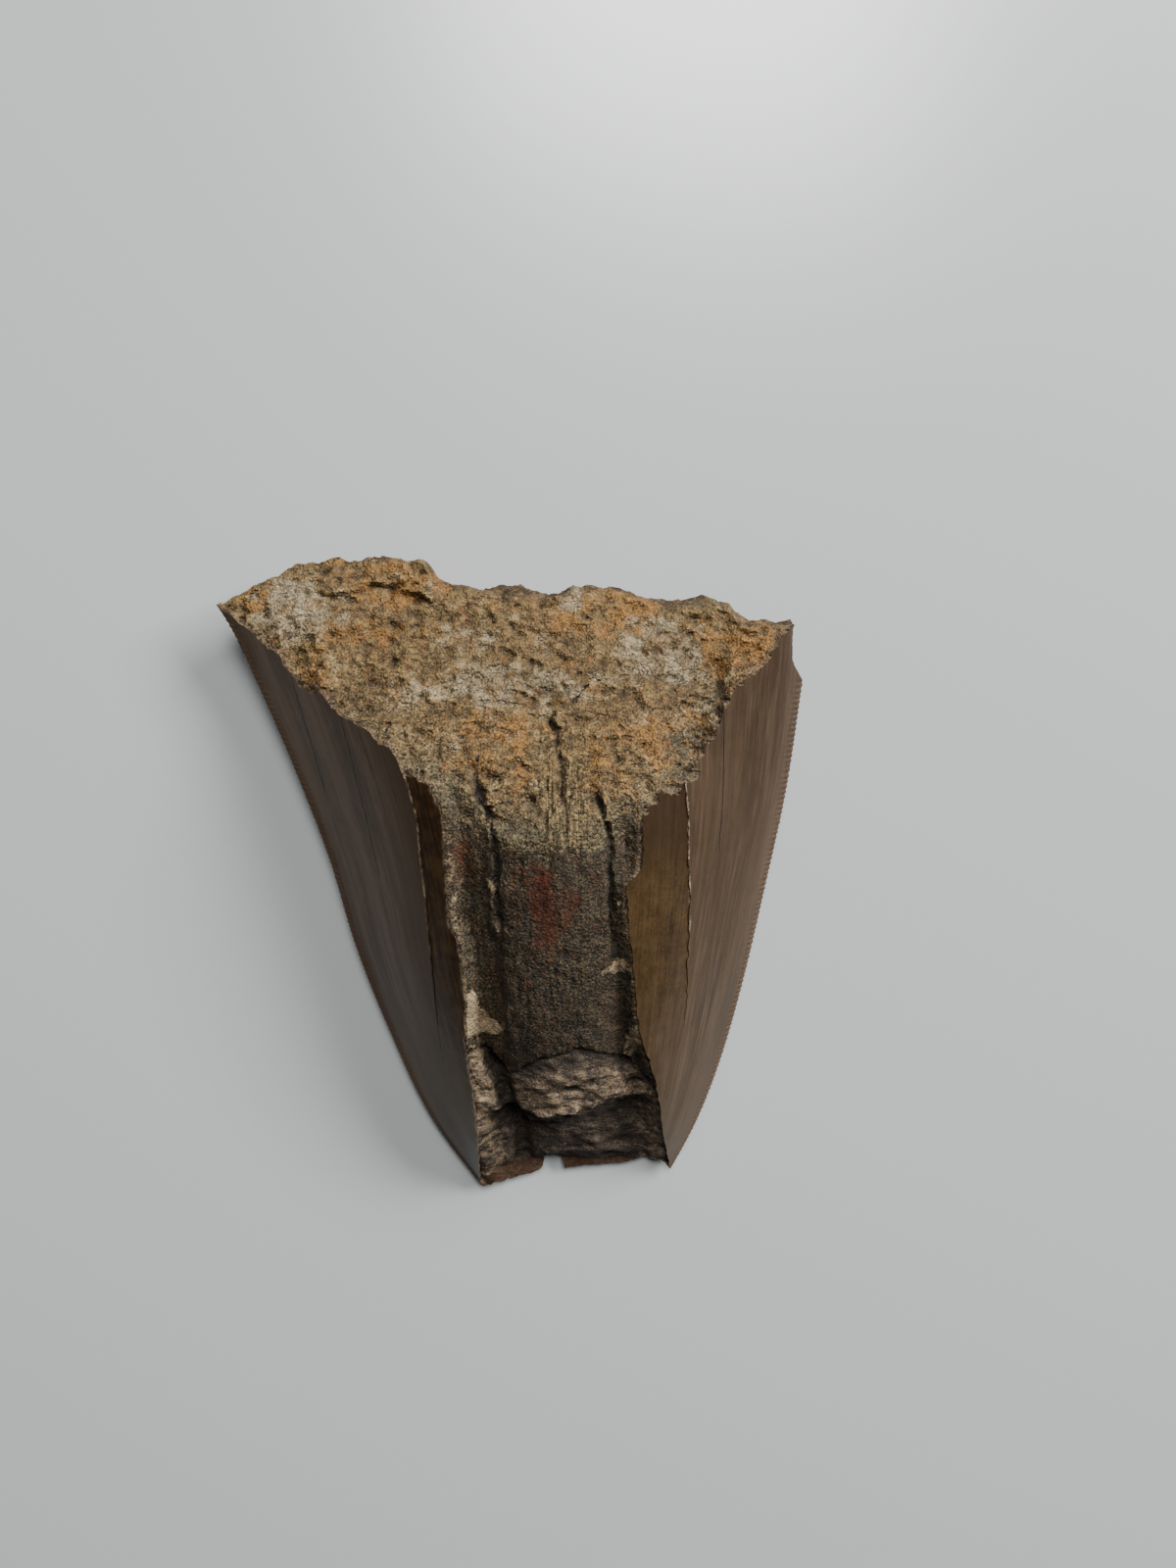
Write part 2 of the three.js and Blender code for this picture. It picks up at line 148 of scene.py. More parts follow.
serration = {
    "pitch": 0.8,
    "wander": 0.3,  # in pitches
    "reach": 0.21,
    "unevenReach": (0.75, 0.7),  # its usual share, and how far chance moves that
    "level": 0.35,  # the plan's edge runs this far up the points
    "depth": 1.1,  # how far in from the edge the grooves run
    "thinning": (0.3, 0.6),  # how much the grooves thin the edge, and below which height
    "left": (-46.6, 41),
    "right": (-44, 31.5),
}


def edges(y):
    return through(crown["leftEdge"], y), through(crown["rightEdge"], y)


def across(x, y):  # -1 on the left cutting edge, 1 on the right one
    left, right = edges(y)
    return clamp((2 * x - left - right) / (right - left), -1, 1)


def edgeLift(w, y):
    return mix(through(crown["leftLift"], y), through(crown["rightLift"], y), (w + 1) / 2)


def lingual(w, y):  # the domed face of the whole crown
    edge = edgeLift(w, y) + crown["edgeThickness"] / 2
    crest = crown["crestHeight"] - crown["crestFall"] * (y - crown["crestY"]) ** 2
    return edge + (crest - edge) * max(0, 1 - w * w) ** crown["archPower"]


def labial(w, y):  # the face it lies on, flat in the middle
    side = (max(0, abs(w) - crown["flatHalf"]) / (1 - crown["flatHalf"])) ** crown["curlPower"]
    edge = (edgeLift(w, y) - crown["edgeThickness"] / 2) * side
    bow = 0
    for end, outwards in (("tipBow", -1), ("rootBow", 1)):
        height, start, run = crown[end]
        bow += height * (max(0, outwards * (y - start)) / run) ** 2
    return max(edge, bow * (1 - side) + edge)


# blocks, moved vertices and cuts

clear = 12  # cutters stand this far outside the crown
above = crown["crestHeight"] + clear


def pick(body):
    bpy.ops.object.select_all(action="DESELECT")
    body.select_set(True)
    bpy.context.view_layer.objects.active = body


def editMesh(body, *steps):  # (operator, settings) pairs, each on the whole mesh
    pick(body)
    bpy.ops.object.mode_set(mode="EDIT")
    bpy.ops.mesh.select_all(action="SELECT")
    for step, settings in steps:
        step(**settings)
    bpy.ops.object.mode_set(mode="OBJECT")


def shapedBlock(name, cells, place):  # closed; place(u, v, top) gives its points in millimetres
    columns, rows = cells
    bpy.ops.mesh.primitive_grid_add(x_subdivisions=columns, y_subdivisions=rows, size=1)
    block = bpy.context.object
    block.name = name
    editMesh(block, (bpy.ops.transform.translate, {"value": (0.5, 0.5, 0)}),
             (bpy.ops.mesh.extrude_region_move, {"TRANSFORM_OT_translate": {"value": (0, 0, 1)}}))
    middleX, middleY = crown["boxMiddle"]
    for vertex in block.data.vertices:
        u, v, top = vertex.co
        x, y, z = place(u, v, top > 0.5)
        vertex.co = Vector((x - middleX, y - middleY, z)) * mm
    block.data.update()
    return block


def outward(block):  # turns its faces outwards
    editMesh(block, (bpy.ops.mesh.normals_make_consistent, {"inside": False}))


def cutAway(body, cutter, finish):
    outward(cutter)
    cutter.data.materials.append(finish)
    pick(body)
    cut = body.modifiers.new("break", "BOOLEAN")
    cut.operation = "DIFFERENCE"
    cut.object = cutter
    cut.solver = "MANIFOLD"
    cut.material_mode = "TRANSFER"
    bpy.ops.object.modifier_apply(modifier=cut.name)
    bpy.data.objects.remove(cutter)


# the whole crown, with its serrated edges

def notch(arc, side):  # 0 in a groove between two serrations, 1 on a point
    phase = arc / serration["pitch"] + serration["wander"] * noise.noise(Vector((arc * 0.6, side, 0)))
    return 1 - abs(2 * (phase % 1) - 1)


def crownBlank():
    arcs = {}
    for side, plan in ((-1, "leftEdge"), (1, "rightEdge")):
        arc = 0
        last = None
        for row in range(crown["rows"] + 1):
            y = mix(crown["start"], crown["end"], row / crown["rows"])
            x = through(crown[plan], y)
            arc += math.dist(last, (x, y)) if last else 0
            last = (x, y)
            arcs[side, row] = arc

    def place(u, v, top):
        w = mix(2 * u - 1, math.sin(math.pi / 2 * (2 * u - 1)), crown["columnBunching"])
        y = mix(crown["start"], crown["end"], v)
        left, right = edges(y)
        x = mix(left, right, (w + 1) / 2)
        z = lingual(w, y) if top else labial(w, y)
        side = 1 if w > 0 else -1
        low, high = serration["right"] if w > 0 else serration["left"]
        gap = (1 - abs(w)) * (right - left) / 2
        inside = smooth(y, low - 1, low) * smooth(high + 1 - y, 0, 1)
        fade = max(0, 1 - gap / serration["depth"]) * inside
        if fade > 0:
            row = round(v * crown["rows"])
            point = notch(arcs[side, row], side) - serration["level"]
            usual, moved = serration["unevenReach"]
            reach = serration["reach"] * (usual + moved * noise.noise(Vector((y * 0.9, side * 5, 0))))
            x += side * point * reach * fade
            thinning, below = serration["thinning"]
            z = mix(z, edgeLift(w, y), thinning * fade * clamp(below - point))
        if top or z > crown["restHeight"]:
            ripple = crown["ripple"] * rough(w * 14, y * 0.12, 3 if top else 9, 1, 2)
            z += ripple * smooth(gap, *crown["rippleInset"])
        return x, y, z

    block = shapedBlock("crown", (crown["columns"], crown["rows"]), place)
    outward(block)
    return block


# flakes off the enamel beside both ridges

flakes = [
    {"line": [(-30, -9.3), (-23.4, -10.4), (-13.4, -11), (-0.9, -11.5), (4.8, -11.8), (9.1, -12.1),
              (14, -12.3), (19.4, -13.6), (24.1, -14.7), (28, -15.5)],
     "to": -4, "start": -27, "end": 28, "depth": 0.3, "fadeOver": 26, "cells": (34, 190)},
    {"line": [(-26, 25.2), (-9.4, 25.4), (-4.8, 25.5), (1.3, 25.4), (8.6, 25), (14.3, 24.8), (17.8, 24.4),
              (32, 23)],
     "to": 14, "start": -25, "end": 32, "depth": 0.32, "fadeOver": 18, "cells": (44, 200)},
]
flakeLip = {"wander": 0.2, "wanderSize": 2.4, "clearance": 0.05, "ripple": 0.03, "rippleSize": 1.5}


def flakeCutter(flake):
    def place(u, v, top):
        y = mix(flake["start"], flake["end"], v)
        line = through(flake["line"], y)
        line += flakeLip["wander"] * rough(4, y, line, flakeLip["wanderSize"], 5)
        x = mix(line, flake["to"], u)
        if top:
            return x, y, above
        depth = flake["depth"] * smooth(y, flake["start"], flake["start"] + flake["fadeOver"])
        ripple = flakeLip["ripple"] * rough(x, y * 0.3, 6, flakeLip["rippleSize"], 2)
        return x, y, lingual(across(x, y), y) - (depth - flakeLip["clearance"]) + ripple

    return shapedBlock("flakeBreak", flake["cells"], place)


# the root's fracture

fracture = {
    "height": 8,
    "y": 42.5,
    "slope": 0.5,
    "swell": [(-46, 0.4), (-36, 1), (-22, 0.4), (-9, 0.5), (6, 0.4), (24, -0.4), (38, 0.6),
              (46, 0.8)],
    "rimSwell": [(-46, 0.9), (-41.8, 0.9), (-39.4, 0.5), (-36, 0.2), (-32.8, 0.8), (-32, -0.4),
                 (-29.8, -1.2), (-27.6, -0.1), (-25.7, 1.2), (-21.2, 1.1), (-19, 2.2), (-17.7, 1.6),
                 (-15.4, 2.7), (-14, 0.9), (-12, 1.4), (-10.4, 2.5), (-9, 1.5), (-4, 0), (6, 0.2),
                 (17.5, -0.9), (20.5, -1), (23, -2), (24.4, -2.2), (26.5, -1.8), (28, -0.2), (29.2, 0),
                 (30.1, 1.7), (31.3, 2.4), (33.5, 2.2), (35.7, 1.5), (38.3, 2.1), (42, 3)],
    "pillows": [((19.5, 21), (12, 11.5), 1), ((-4, 21.5), (9.5, 8), 0.7)],  # middle, half sizes, height
    "rimDepth": (1, 7),  # between these depths the rim's swell gives way to the middle's
    "pillowRim": (0.45, 1.05),  # they slope down between these shares of their half sizes
    "lump": 0.55,
    "lumpSize": 7,
    "lumpTurn": (0.8, 0.6),  # cosine and sine of the turn of the smaller lumps
    "smallLumps": 0.45,  # their size, as a share of the large ones
    "ledgeLine": [(-40, 26), (-20, 27.5), (-11.2, 27.6), (-8.1, 28.3), (-5.2, 29.4), (4.8, 28.9),
                  (5.6, 28.3), (7.1, 30), (10.7, 32.3), (13.6, 32.3), (24.8, 32.2), (29.8, 29.4),
                  (31, 24), (40, 18)],
    "ledgeStep": 1.1,
    "ledgeWidth": 1.1,
    "layerLine": [(-40, 44), (-27, 44.5), (-19, 45.6), (-13, 44.5), (-9, 42.7)],
    "layerStartX": (-32, -22),  # it rises between these
    "layerEndX": -10.4,
    "layerEndRun": 1.5,
    "layerHeight": 1.3,
    "layerLump": 0.6,
    "layerLumpSize": 1.7,
    "crumbs": ((0.16, 2.1), (0.15, 0.8)),  # height and size of the large and small ones
    "crag": 0.75,
    "cragSize": 3.6,
    "fibres": ((7.8, 16), (3.6, 7.5), 0.8),  # middle, half sizes, strength
    "rimBand": (2.2, 1.4),  # how deep the rim is nicked, and over what it fades
    "nickSize": (1.9, 2.6),
    "nick": 0.22,
    "across": (-50, 48),
    "start": 6,
    "cells": (290, 172),
}


def outFrom(middle, half, x, y):  # 0 in an oval's middle, 1 on its edge
    return math.hypot((x - middle[0]) / half[0], (y - middle[1]) / half[1])


def rootForm(x, y):  # the root's fracture without its lumps
    plane = fracture["height"] + fracture["slope"] * (fracture["y"] - y)
    nearRim = 1 - smooth(lingual(across(x, y), y) - plane, *fracture["rimDepth"])
    swell = mix(through(fracture["swell"], x), through(fracture["rimSwell"], x), nearRim)
    width = fracture["ledgeWidth"] / 2
    upper = fracture["ledgeStep"] * (smooth(along(fracture["ledgeLine"], x) - y, -width, width) - 0.5)
    wander = fracture["layerLump"] * lumps(x, 3, fracture["layerLumpSize"])
    layer = fracture["layerHeight"] * smooth(y - along(fracture["layerLine"], x) + wander, -width, width)
    layer *= smooth(fracture["layerEndX"] - x, 0, fracture["layerEndRun"])
    layer *= smooth(x, *fracture["layerStartX"])
    pillows = 0
    for middle, half, height in fracture["pillows"]:
        pillows += height * (1 - smooth(outFrom(middle, half, x, y), *fracture["pillowRim"]))
    return plane + swell + pillows + upper + layer


def rootLumps(x, y):
    size = fracture["lumpSize"]
    cosine, sine = fracture["lumpTurn"]
    small = lumps(cosine * x + sine * y, cosine * y - sine * x, size * fracture["smallLumps"])
    return fracture["lump"] * (0.7 * lumps(x, y, size) + 0.5 * small)


def rootFracture(x, y):
    return rootForm(x, y) + rootLumps(x, y)


def fibrousShare(x, y):  # where the dentine shows lengthwise fibres
    middle, half, strength = fracture["fibres"]
    ragged = 0.25 * rough(x, y, 9, 3, 4)
    return strength * smooth(1.4 - outFrom(middle, half, x, y) + ragged, 0, 0.8)


def groove(x, y):  # how deep the cracks' soft grooves are at a place
    deepest = 0
    for crack in cracks:
        half, depth = crack["groove"]
        line = crack["line"]
        low = min(line[0][1], line[-1][1]) - half
        high = max(line[0][1], line[-1][1]) + half + 1
        if not low < y < high or abs(x - line[len(line) // 2][0]) > slit["farthest"]:
            continue
        for i, ((startX, startY), (endX, endY)) in enumerate(zip(line, line[1:])):
            spanX = endX - startX
            spanY = endY - startY
            t = clamp(((x - startX) * spanX + (y - startY) * spanY) / (spanX ** 2 + spanY ** 2))
            gap = math.hypot(x - startX - t * spanX, y - startY - t * spanY)
            if gap < half * slit["grooveReach"]:
                at = (i + t) / (len(line) - 1)
                fade = smooth(at, -0.03, 0.12) * mix(1, slit["grooveEnd"], at)
                fade *= smooth(1.05 - at, 0, 0.25)
                narrower = slit["grooveTaper"] * at
                ragged = gap + half * (slit["grooveRagged"] * rough(x, y, 6, 1.1, 5) + narrower)
                deepest = max(deepest, depth * fade * (1 - smooth(ragged, 0.05 * half, half)))
    return deepest


def fractureGrain(x, y, z):  # its sandy, crumbled surface
    warp = 0.6 * rough(y, x, 3, 4, 2)
    (large, largeSize), (small, smallSize) = fracture["crumbs"]
    crumbs = large * grains(x + warp, y, z, largeSize) + small * grains(x, y + warp, z, smallSize)
    ridge = abs(rough(x * 0.75 + y * 0.25, y * 1.2, z, fracture["cragSize"], 5))
    crags = fracture["crag"] * (0.35 - ridge)
    sandy = crumbs + crags + 0.2 * rough(x, y, z, 1.3, 4)
    fibres = 0.3 * rough(x * 1.8, y * 0.22, 4, 1, 4) + 0.2 * rough(x, y, z, 2, 4)
    return mix(sandy, fibres, fibrousShare(x, y)) - groove(x, y)


def rootCutter():
    def place(u, v, top):
        x = mix(*fracture["across"], u)
        y = mix(fracture["start"], crown["end"] + clear, v)
        if top:
            return x, y, above
        z = rootFracture(x, y)
        band, fadeOver = fracture["rimBand"]
        rim = smooth(band - abs(lingual(across(x, y), y) - z), 0, fadeOver)
        sizeX, sizeY = fracture["nickSize"]
        nicks = chance(math.floor(x / sizeX + 0.3 * rough(x, y, 1, 2)), math.floor(y / sizeY))
        z += rim * (fracture["nick"] * nicks - 0.3 * abs(rough(x, y, 7, 2.2, 4)))
        return x, y, z + fractureGrain(x, y, z)

    return shapedBlock("rootBreak", fracture["cells"], place)


farWall = {
    "line": [(-60, 31), (-41.9, 42.7), (-38.4, 45.3), (-34.4, 47.2), (-31.6, 48), (-26, 48.7),
             (-17.5, 49), (-12.6, 48.4), (-10.9, 45.8), (-9.5, 45.4), (-3.1, 44.4), (1.1, 44.7),
             (4.3, 43.8), (9, 44.9), (14.5, 44.4), (17.3, 43.8), (19.7, 42.8), (25, 42.7),
             (28.6, 43.5), (31.4, 42.6), (32.3, 41.3), (34, 40.6), (37.5, 40.5), (40.1, 41.2),
             (54, 45)],
    "lean": 0.25,  # outwards, for each mm down
    "leanFrom": 6,  # the height of its line
    "lump": 0.6,
    "lumpSize": 6,
    "rough": (0.42, 2.4),  # height and size
    "grain": (0.3, 1.2),
    "cells": (280, 84),
}


def farCutter():
    def place(u, v, top):
        x = mix(farWall["line"][0][0], farWall["line"][-1][0], u)
        z = mix(-clear, crown["crestHeight"], v)
        wall = along(farWall["line"], x) - farWall["lean"] * (z - farWall["leanFrom"])
        wall += farWall["lump"] * lumps(x, 2 * z, farWall["lumpSize"])
        (height, size), (grain, grainSize) = farWall["rough"], farWall["grain"]
        wall += height * rough(x, z, 2, size, 6) + grain * grains(x, z, 5, grainSize)
        return x, crown["end"] + clear if top else wall, z

    return shapedBlock("farBreak", farWall["cells"], place)


# the spalled strip along the top and the scooped tip

spall = {
    "leftRidge": [(-60, -6.6), (-47.8, -6.2), (-36.6, -5.6), (-28.6, -5.9), (-18.5, -6.6),
                  (-13.2, -6.3), (-8.6, -6.6), (-3.2, -7.1), (-0.8, -8.2), (7.8, -8.4), (15.1, -8.7),
                  (17.2, -9.7), (24, -12)],
    "rightRidge": [(-60, 26.5), (-45.8, 24.1), (-35.8, 22.3), (-27.7, 21.2), (-16, 18.2),
                   (-7.8, 17.4), (1.8, 16.5), (5, 16.3), (6.2, 17.5), (7.4, 18.4), (14.1, 18.4),
                   (24, 19)],
    "ridgeWander": 0.14,
    "ridgeWanderSize": 1.4,
    "enamel": 0.6,
    "depth": [(-60, 4), (-26, 4.2), (-18, 3.6), (-9, 2.9), (5, 2.3), (16, 2), (30, 1.8)],
    "wallRun": 0.1,  # its sides climb to the ridges over this share of its width
    "sideStripShare": (0.2, 0.26),  # between these the lower strip along the left ridge ends
    "sideStripDrop": 0.8,
    "lump": 0.22,
    "lumpSize": 4,
    "grain": (0.04, 0.6),  # height and size
    "rough": (0.12, 1.6),
    "start": -64,
    "end": 24,
    "cells": (92, 300),
}
scoop = {  # lines of (share across the strip, y)
    "rim": [(0, -20), (0.1, -20.7), (0.18, -23), (0.25, -23.8), (0.36, -21.9), (0.44, -21),
            (0.54, -20.3), (0.65, -19.5), (0.75, -20.9), (0.88, -22.7), (0.95, -25.5), (1, -28)],
    "ledge": [(0, -33), (0.24, -31.3), (0.31, -31.8), (0.39, -32.3), (0.5, -32.1), (0.61, -31.4),
              (0.69, -30.6), (0.81, -30), (0.93, -30.2), (1, -32)],
    "foot": [(0, -48), (0.07, -46), (0.12, -45.2), (0.2, -44.4), (0.31, -43.8), (0.44, -43.5),
             (0.57, -43.7), (0.73, -44), (0.83, -44.3), (0.93, -45.2), (1, -46)],
    "wander": 0.55,
    "wanderSize": 3.2,
    "profile": [(0, 1), (0.05, 0.95), (0.48, 0.89), (0.57, 0.84), (0.94, 0.78), (1.06, 0.56),
                (1.3, 0.42), (1.82, 0.25), (2, 0.1)],  # way down, and height as a share of the rim's
    "lump": 2,  # its lumps are this many times as high as the strip's
    "gully": [(-40, 0.22), (-33.5, 0.21), (-30.2, 0.18), (-26.1, 0.16), (-22.9, 0.13), (-20.7, 0.1),
              (-17, 0.06)],  # y, and share across
    "gullyHalf": 0.075,
    "gullyFloor": 0.2,  # flat for this share of its half width
    "gullyDepth": 2.2,
    "wallShare": 0.13,
    "wallPower": 1.5,
    "wallDrop": 1.3,
    "fringe": 0.9,
    "strata": 4,  # from the rim to the ledge, and as many to the foot
    "terrace": 0.3,  # how strongly they step
}


def ridges(y):
    return through(spall["leftRidge"], y), through(spall["rightRidge"], y)


def scoopDown(share, y):  # 0 at the scoop's rim, 1 at its ledge, 2 at its foot
    y += scoop["wander"] * rough(share * 24, y, 3, scoop["wanderSize"], 5)
    rim = through(scoop["rim"], share)
    ledge = through(scoop["ledge"], share)
    foot = through(scoop["foot"], share)
    return (rim - y) / (rim - ledge) if y > ledge else 1 + (ledge - y) / (ledge - foot)


def spallForm(share, x, y, lump=0):  # the strip's floor and the scoop
    w = across(x, y)
    arch = lingual(w, y)
    walls = smooth(share, 0, spall["wallRun"]) * smooth(1 - share, 0, spall["wallRun"])
    sideStrip = spall["sideStripDrop"] * (1 - smooth(share, *spall["sideStripShare"]))
    down = clamp(scoopDown(share, y), -1, 2)
    if down < 0:
        return arch - mix(spall["enamel"], through(spall["depth"], y) + sideStrip, walls) + lump * walls
    rim = through(scoop["rim"], share)
    rimHeight = lingual(across(x, rim), rim) - through(spall["depth"], rim)
    gully = abs(share - through(scoop["gully"], y)) / scoop["gullyHalf"]
    gully = scoop["gullyDepth"] * (1 - smooth(gully, scoop["gullyFloor"], 1))
    hollow = rimHeight * along(scoop["profile"], down) - gully + scoop["lump"] * lump
    fringe = labial(w, y) + scoop["fringe"]
    wall = max(0, 1 - min(share, 1 - share) / scoop["wallShare"]) ** scoop["wallPower"]
    return mix(max(hollow, fringe), max(arch - scoop["wallDrop"], fringe), wall)


def spallFloor(share, x, y):
    size = spall["lumpSize"]
    lump = spall["lump"] * (lumps(x, y, size) + 0.6 * lumps(y, x, size * fracture["smallLumps"]))
    return spallForm(share, x, y, lump)


def spallGrain(x, y, z, share):  # grainy along the strip, in layers down the scoop
    down = scoopDown(share, y)
    (grain, grainSize), (height, size) = spall["grain"], spall["rough"]
    grainy = grain * grains(x, y, z, grainSize) + height * rough(x, y, z, size, 4)
    grainy += 0.1 * rough(x * 1.8, y * 0.25, 5, 1, 3)
    if down < 0:
        return grainy - groove(x, y)
    layer = scoop["strata"] * down + 0.9 * rough(x * 0.6, y, 5, 3.5, 3) + 0.03 * x
    strata = scoop["terrace"] * (layer % 1 - smooth(layer % 1, 0.3, 1))
    strata += 0.24 * rough(x * 0.55 + y * 0.3, y, z, 1.5, 4)
    strata += 0.4 * rough(x * 0.5, y, z, 4, 2)
    onFringe = smooth(down, 1.9, 2)
    return mix(mix(grainy, strata, smooth(down, 0, 0.15)), 0.02, onFringe)


def spallCutter():
    def place(u, v, top):
        y = mix(spall["start"], spall["end"], v)
        left, right = ridges(y)
        left += spall["ridgeWander"] * rough(1, y, 0, spall["ridgeWanderSize"], 4)
        right += spall["ridgeWander"] * rough(2, y, 8, spall["ridgeWanderSize"], 4)
        x = mix(left, right, u)
        if top:
            return x, y, above
        z = spallFloor(u, x, y)
        return x, y, z + spallGrain(x, y, z, u)

    return shapedBlock("spallBreak", spall["cells"], place)


# the tip's end, the chipped corner and the cracks

tipEnd = {
    "line": [(-8, -48.9), (-6, -48.5), (-2, -47.5), (1.6, -46.8), (3.7, -45.9), (4.2, -43.2),
             (6.6, -43), (7.3, -45.7), (11, -45), (15, -45), (18, -44.5), (20, -43.7), (22.6, -44),
             (24.4, -46), (30, -48.6)],
    "wander": 0.22,
    "wanderSize": 1.1,
    "across": (-12, 30),
    "cells": 200,
}
chip = {"centre": (44.6, 38.4, 8), "radii": (4.7, 7.6, 12), "rough": 0.25, "roughSize": 2}
cracks = [  # each a slit in a soft groove
    {"half": 0.4, "depth": 0.9, "groove": (0.95, 1.2),  # half width and depth
     "line": [(-4.9, 20.5), (-3.9, 18.4), (-3.1, 15.9), (-2.2, 13.7), (-1.5, 11), (-1.4, 7), (-1.6, 3.1),
              (-0.9, -0.7), (-1.2, -5.4), (-1.2, -13.7)]},
    {"half": 0.4, "depth": 0.8, "groove": (0.85, 1.2),
     "line": [(11.9, 17.8), (12.5, 16.2), (13.4, 13.7), (14, 11.1), (13.9, 6.9), (14.2, 3.6), (14.2, -0.3),
              (14.7, -6.6)]},
    {"half": 0.3, "depth": 0.6, "groove": (1, 1),
     "line": [(6.4, 28.5), (6, 27), (6.7, 25.2), (7, 23), (7.4, 20.6), (7.2, 18.5), (7.5, 16.8), (8, 15.5),
              (8, 12)]},
    {"half": 0.3, "depth": 0.5, "groove": (0.6, 0.5),
     "line": [(6.4, 28.5), (8.2, 29.2), (9.9, 30.6), (10.9, 32.2), (11.7, 32.7), (14.2, 32.2)]},
    {"half": 0.25, "depth": 0.4, "groove": (0.6, 0.4),
     "line": [(4.6, 28.9), (1.5, 29.2), (-2.2, 29.6), (-5.2, 29.4)]},
    {"half": 0.25, "depth": 0.4, "groove": (0.6, 0.4), "line": [(-7.4, 28.5), (-9.7, 28), (-12.2, 27.3)]},
]
slit = {
    "farthest": 9,  # no groove reaches further across from its middle point
    "cells": 24,  # for each stretch of a line
    "wander": 0.25,
    "farHalf": 0.6,  # of its half width, left at its far end
    "footHalf": 0.04,
    "endRise": 6,  # how fast it widens from both ends,
    "endHalf": 0.25,  # starting from this share
    "above": 0.8,  # how far its cutter stands out, in depths
    "grooveReach": 1.4,  # a ragged groove stays inside this many half widths
    "grooveRagged": 0.35,
    "grooveTaper": 0.25,
    "grooveEnd": 0.4,  # of its depth, left at its far end
}


def tipCutter():
    def place(u, v, top):
        x = mix(*tipEnd["across"], u)
        edge = along(tipEnd["line"], x) + tipEnd["wander"] * rough(x, 3, 0, tipEnd["wanderSize"], 4)
        return x, crown["start"] - clear if v < 0.5 else edge, above if top else -clear

    return shapedBlock("tipBreak", (tipEnd["cells"], 1), place)


def chipCutter():
    bpy.ops.mesh.primitive_ico_sphere_add(subdivisions=5, radius=1)
    block = bpy.context.object
    middleX, middleY = crown["boxMiddle"]
    for vertex in block.data.vertices:
        point = Vector([c + r * p for c, r, p in zip(chip["centre"], chip["radii"], vertex.co)])
        point += vertex.co * chip["rough"] * rough(*point, chip["roughSize"], 3)
        vertex.co = (point - Vector((middleX, middleY, 0))) * mm
    block.data.update()
    return block


def crackCutter(crack):
    line = crack["line"]

    def place(u, v, top):
        at = u * (len(line) - 1)
        i = min(int(at), len(line) - 2)
        x = mix(line[i][0], line[i + 1][0], at - i)
        y = mix(line[i][1], line[i + 1][1], at - i)
        span = Vector((line[i + 1][0] - line[i][0], line[i + 1][1] - line[i][1])).normalized()
        wander = slit["wander"] * rough(3, 10 * at, line[0][0], 5, 5)
        surface = min(rootFracture(x, y), spallFloor(0.5, x, y))
        taper = min(1, slit["endRise"] * min(u, 1 - u) + slit["endHalf"])
        taper *= clamp(0.75 + 0.6 * rough(8, 10 * at, 0, 3, 3), 0.15, 1.5)  # uneven between its narrow ends
        half = crack["half"] * mix(1, slit["farHalf"], u) if top else slit["footHalf"]
        half *= taper
        away = wander + (half if v > 0.5 else -half)
        z = surface + crack["depth"] * slit["above"] if top else surface - crack["depth"] * taper
        return x - span.y * away, y + span.x * away, z

    return shapedBlock("crackBreak", (slit["cells"] * (len(line) - 1), 1), place)


def dropCrumbs(body):  # the cuts leave a few loose bits
    editMesh(body, (bpy.ops.mesh.separate, {"type": "LOOSE"}))
    pieces = sorted(bpy.context.selected_objects, key=lambda piece: len(piece.data.vertices))
    for crumb in pieces[:-1]:
        bpy.data.objects.remove(crumb)
    return pieces[-1]


# what the finishes need to know at each vertex

maps = {
    "sandEnd": [(-14, 19), (-9, 17.2), (-6.1, 15), (-3, 12), (-0.7, 10.2), (3.8, 10.4), (8, 9.4),
                (11, 9.8), (13.6, 11), (16, 12.6), (19, 14.8), (30, 20)],  # the sand turns dark here
    "surelyUpper": 4,  # higher up than this is the domed side
    "noFlake": -9,
}


def keepMaps(body):
    names = ("buried", "relief", "sandGap", "strip", "scoop", "edgeGap", "flake", "width", "crack")
    rows = []
    flow = []
    middleX, middleY = crown["boxMiddle"]
    for vertex in body.data.vertices:
        x = vertex.co.x / mm + middleX
        y = vertex.co.y / mm + middleY
        z = vertex.co.z / mm
        w = across(x, y)
        left, right = edges(y)
        ridgeLeft, ridgeRight = ridges(y)
        strip = (x - ridgeLeft) / (ridgeRight - ridgeLeft)
        share = clamp(strip)
        half = (right - left) / 2
        upper = z > mix(labial(w, y), lingual(w, y), 0.5) or z > maps["surelyUpper"]
        form = min(rootForm(x, y), spallForm(share, x, y)) if 0 < strip < 1 else rootForm(x, y)
        flake = maps["noFlake"]
        if upper and w < 0:
            flake = max(flake, x - through(flakes[0]["line"], y))
        elif upper:
            flake = max(flake, through(flakes[1]["line"], y) - x)
        rows.append((
            lingual(w, y) - z, clamp(z - form, -2, 2), y - along(maps["sandEnd"], x),
            clamp(strip, -1, 2), clamp(scoopDown(share, y), -1, 3), (1 - abs(w)) * half,
            flake, half, groove(x, y) if upper else 0,
        ))
        flow += [w, y, 1 if upper else -1]
    for name, column in zip(names, zip(*rows)):
        layer = body.data.attributes.new(name, "FLOAT", "POINT")
        layer.data.foreach_set("value", column)
    layer = body.data.attributes.new("flow", "FLOAT_VECTOR", "POINT")
    layer.data.foreach_set("vector", flow)


# finishes, written as sums on sockets

def operators(kind):  # an operator on sockets and its reflected form
    return (lambda value, other: value.finish.maths(kind, value, other),
            lambda value, other: value.finish.maths(kind, other, value))


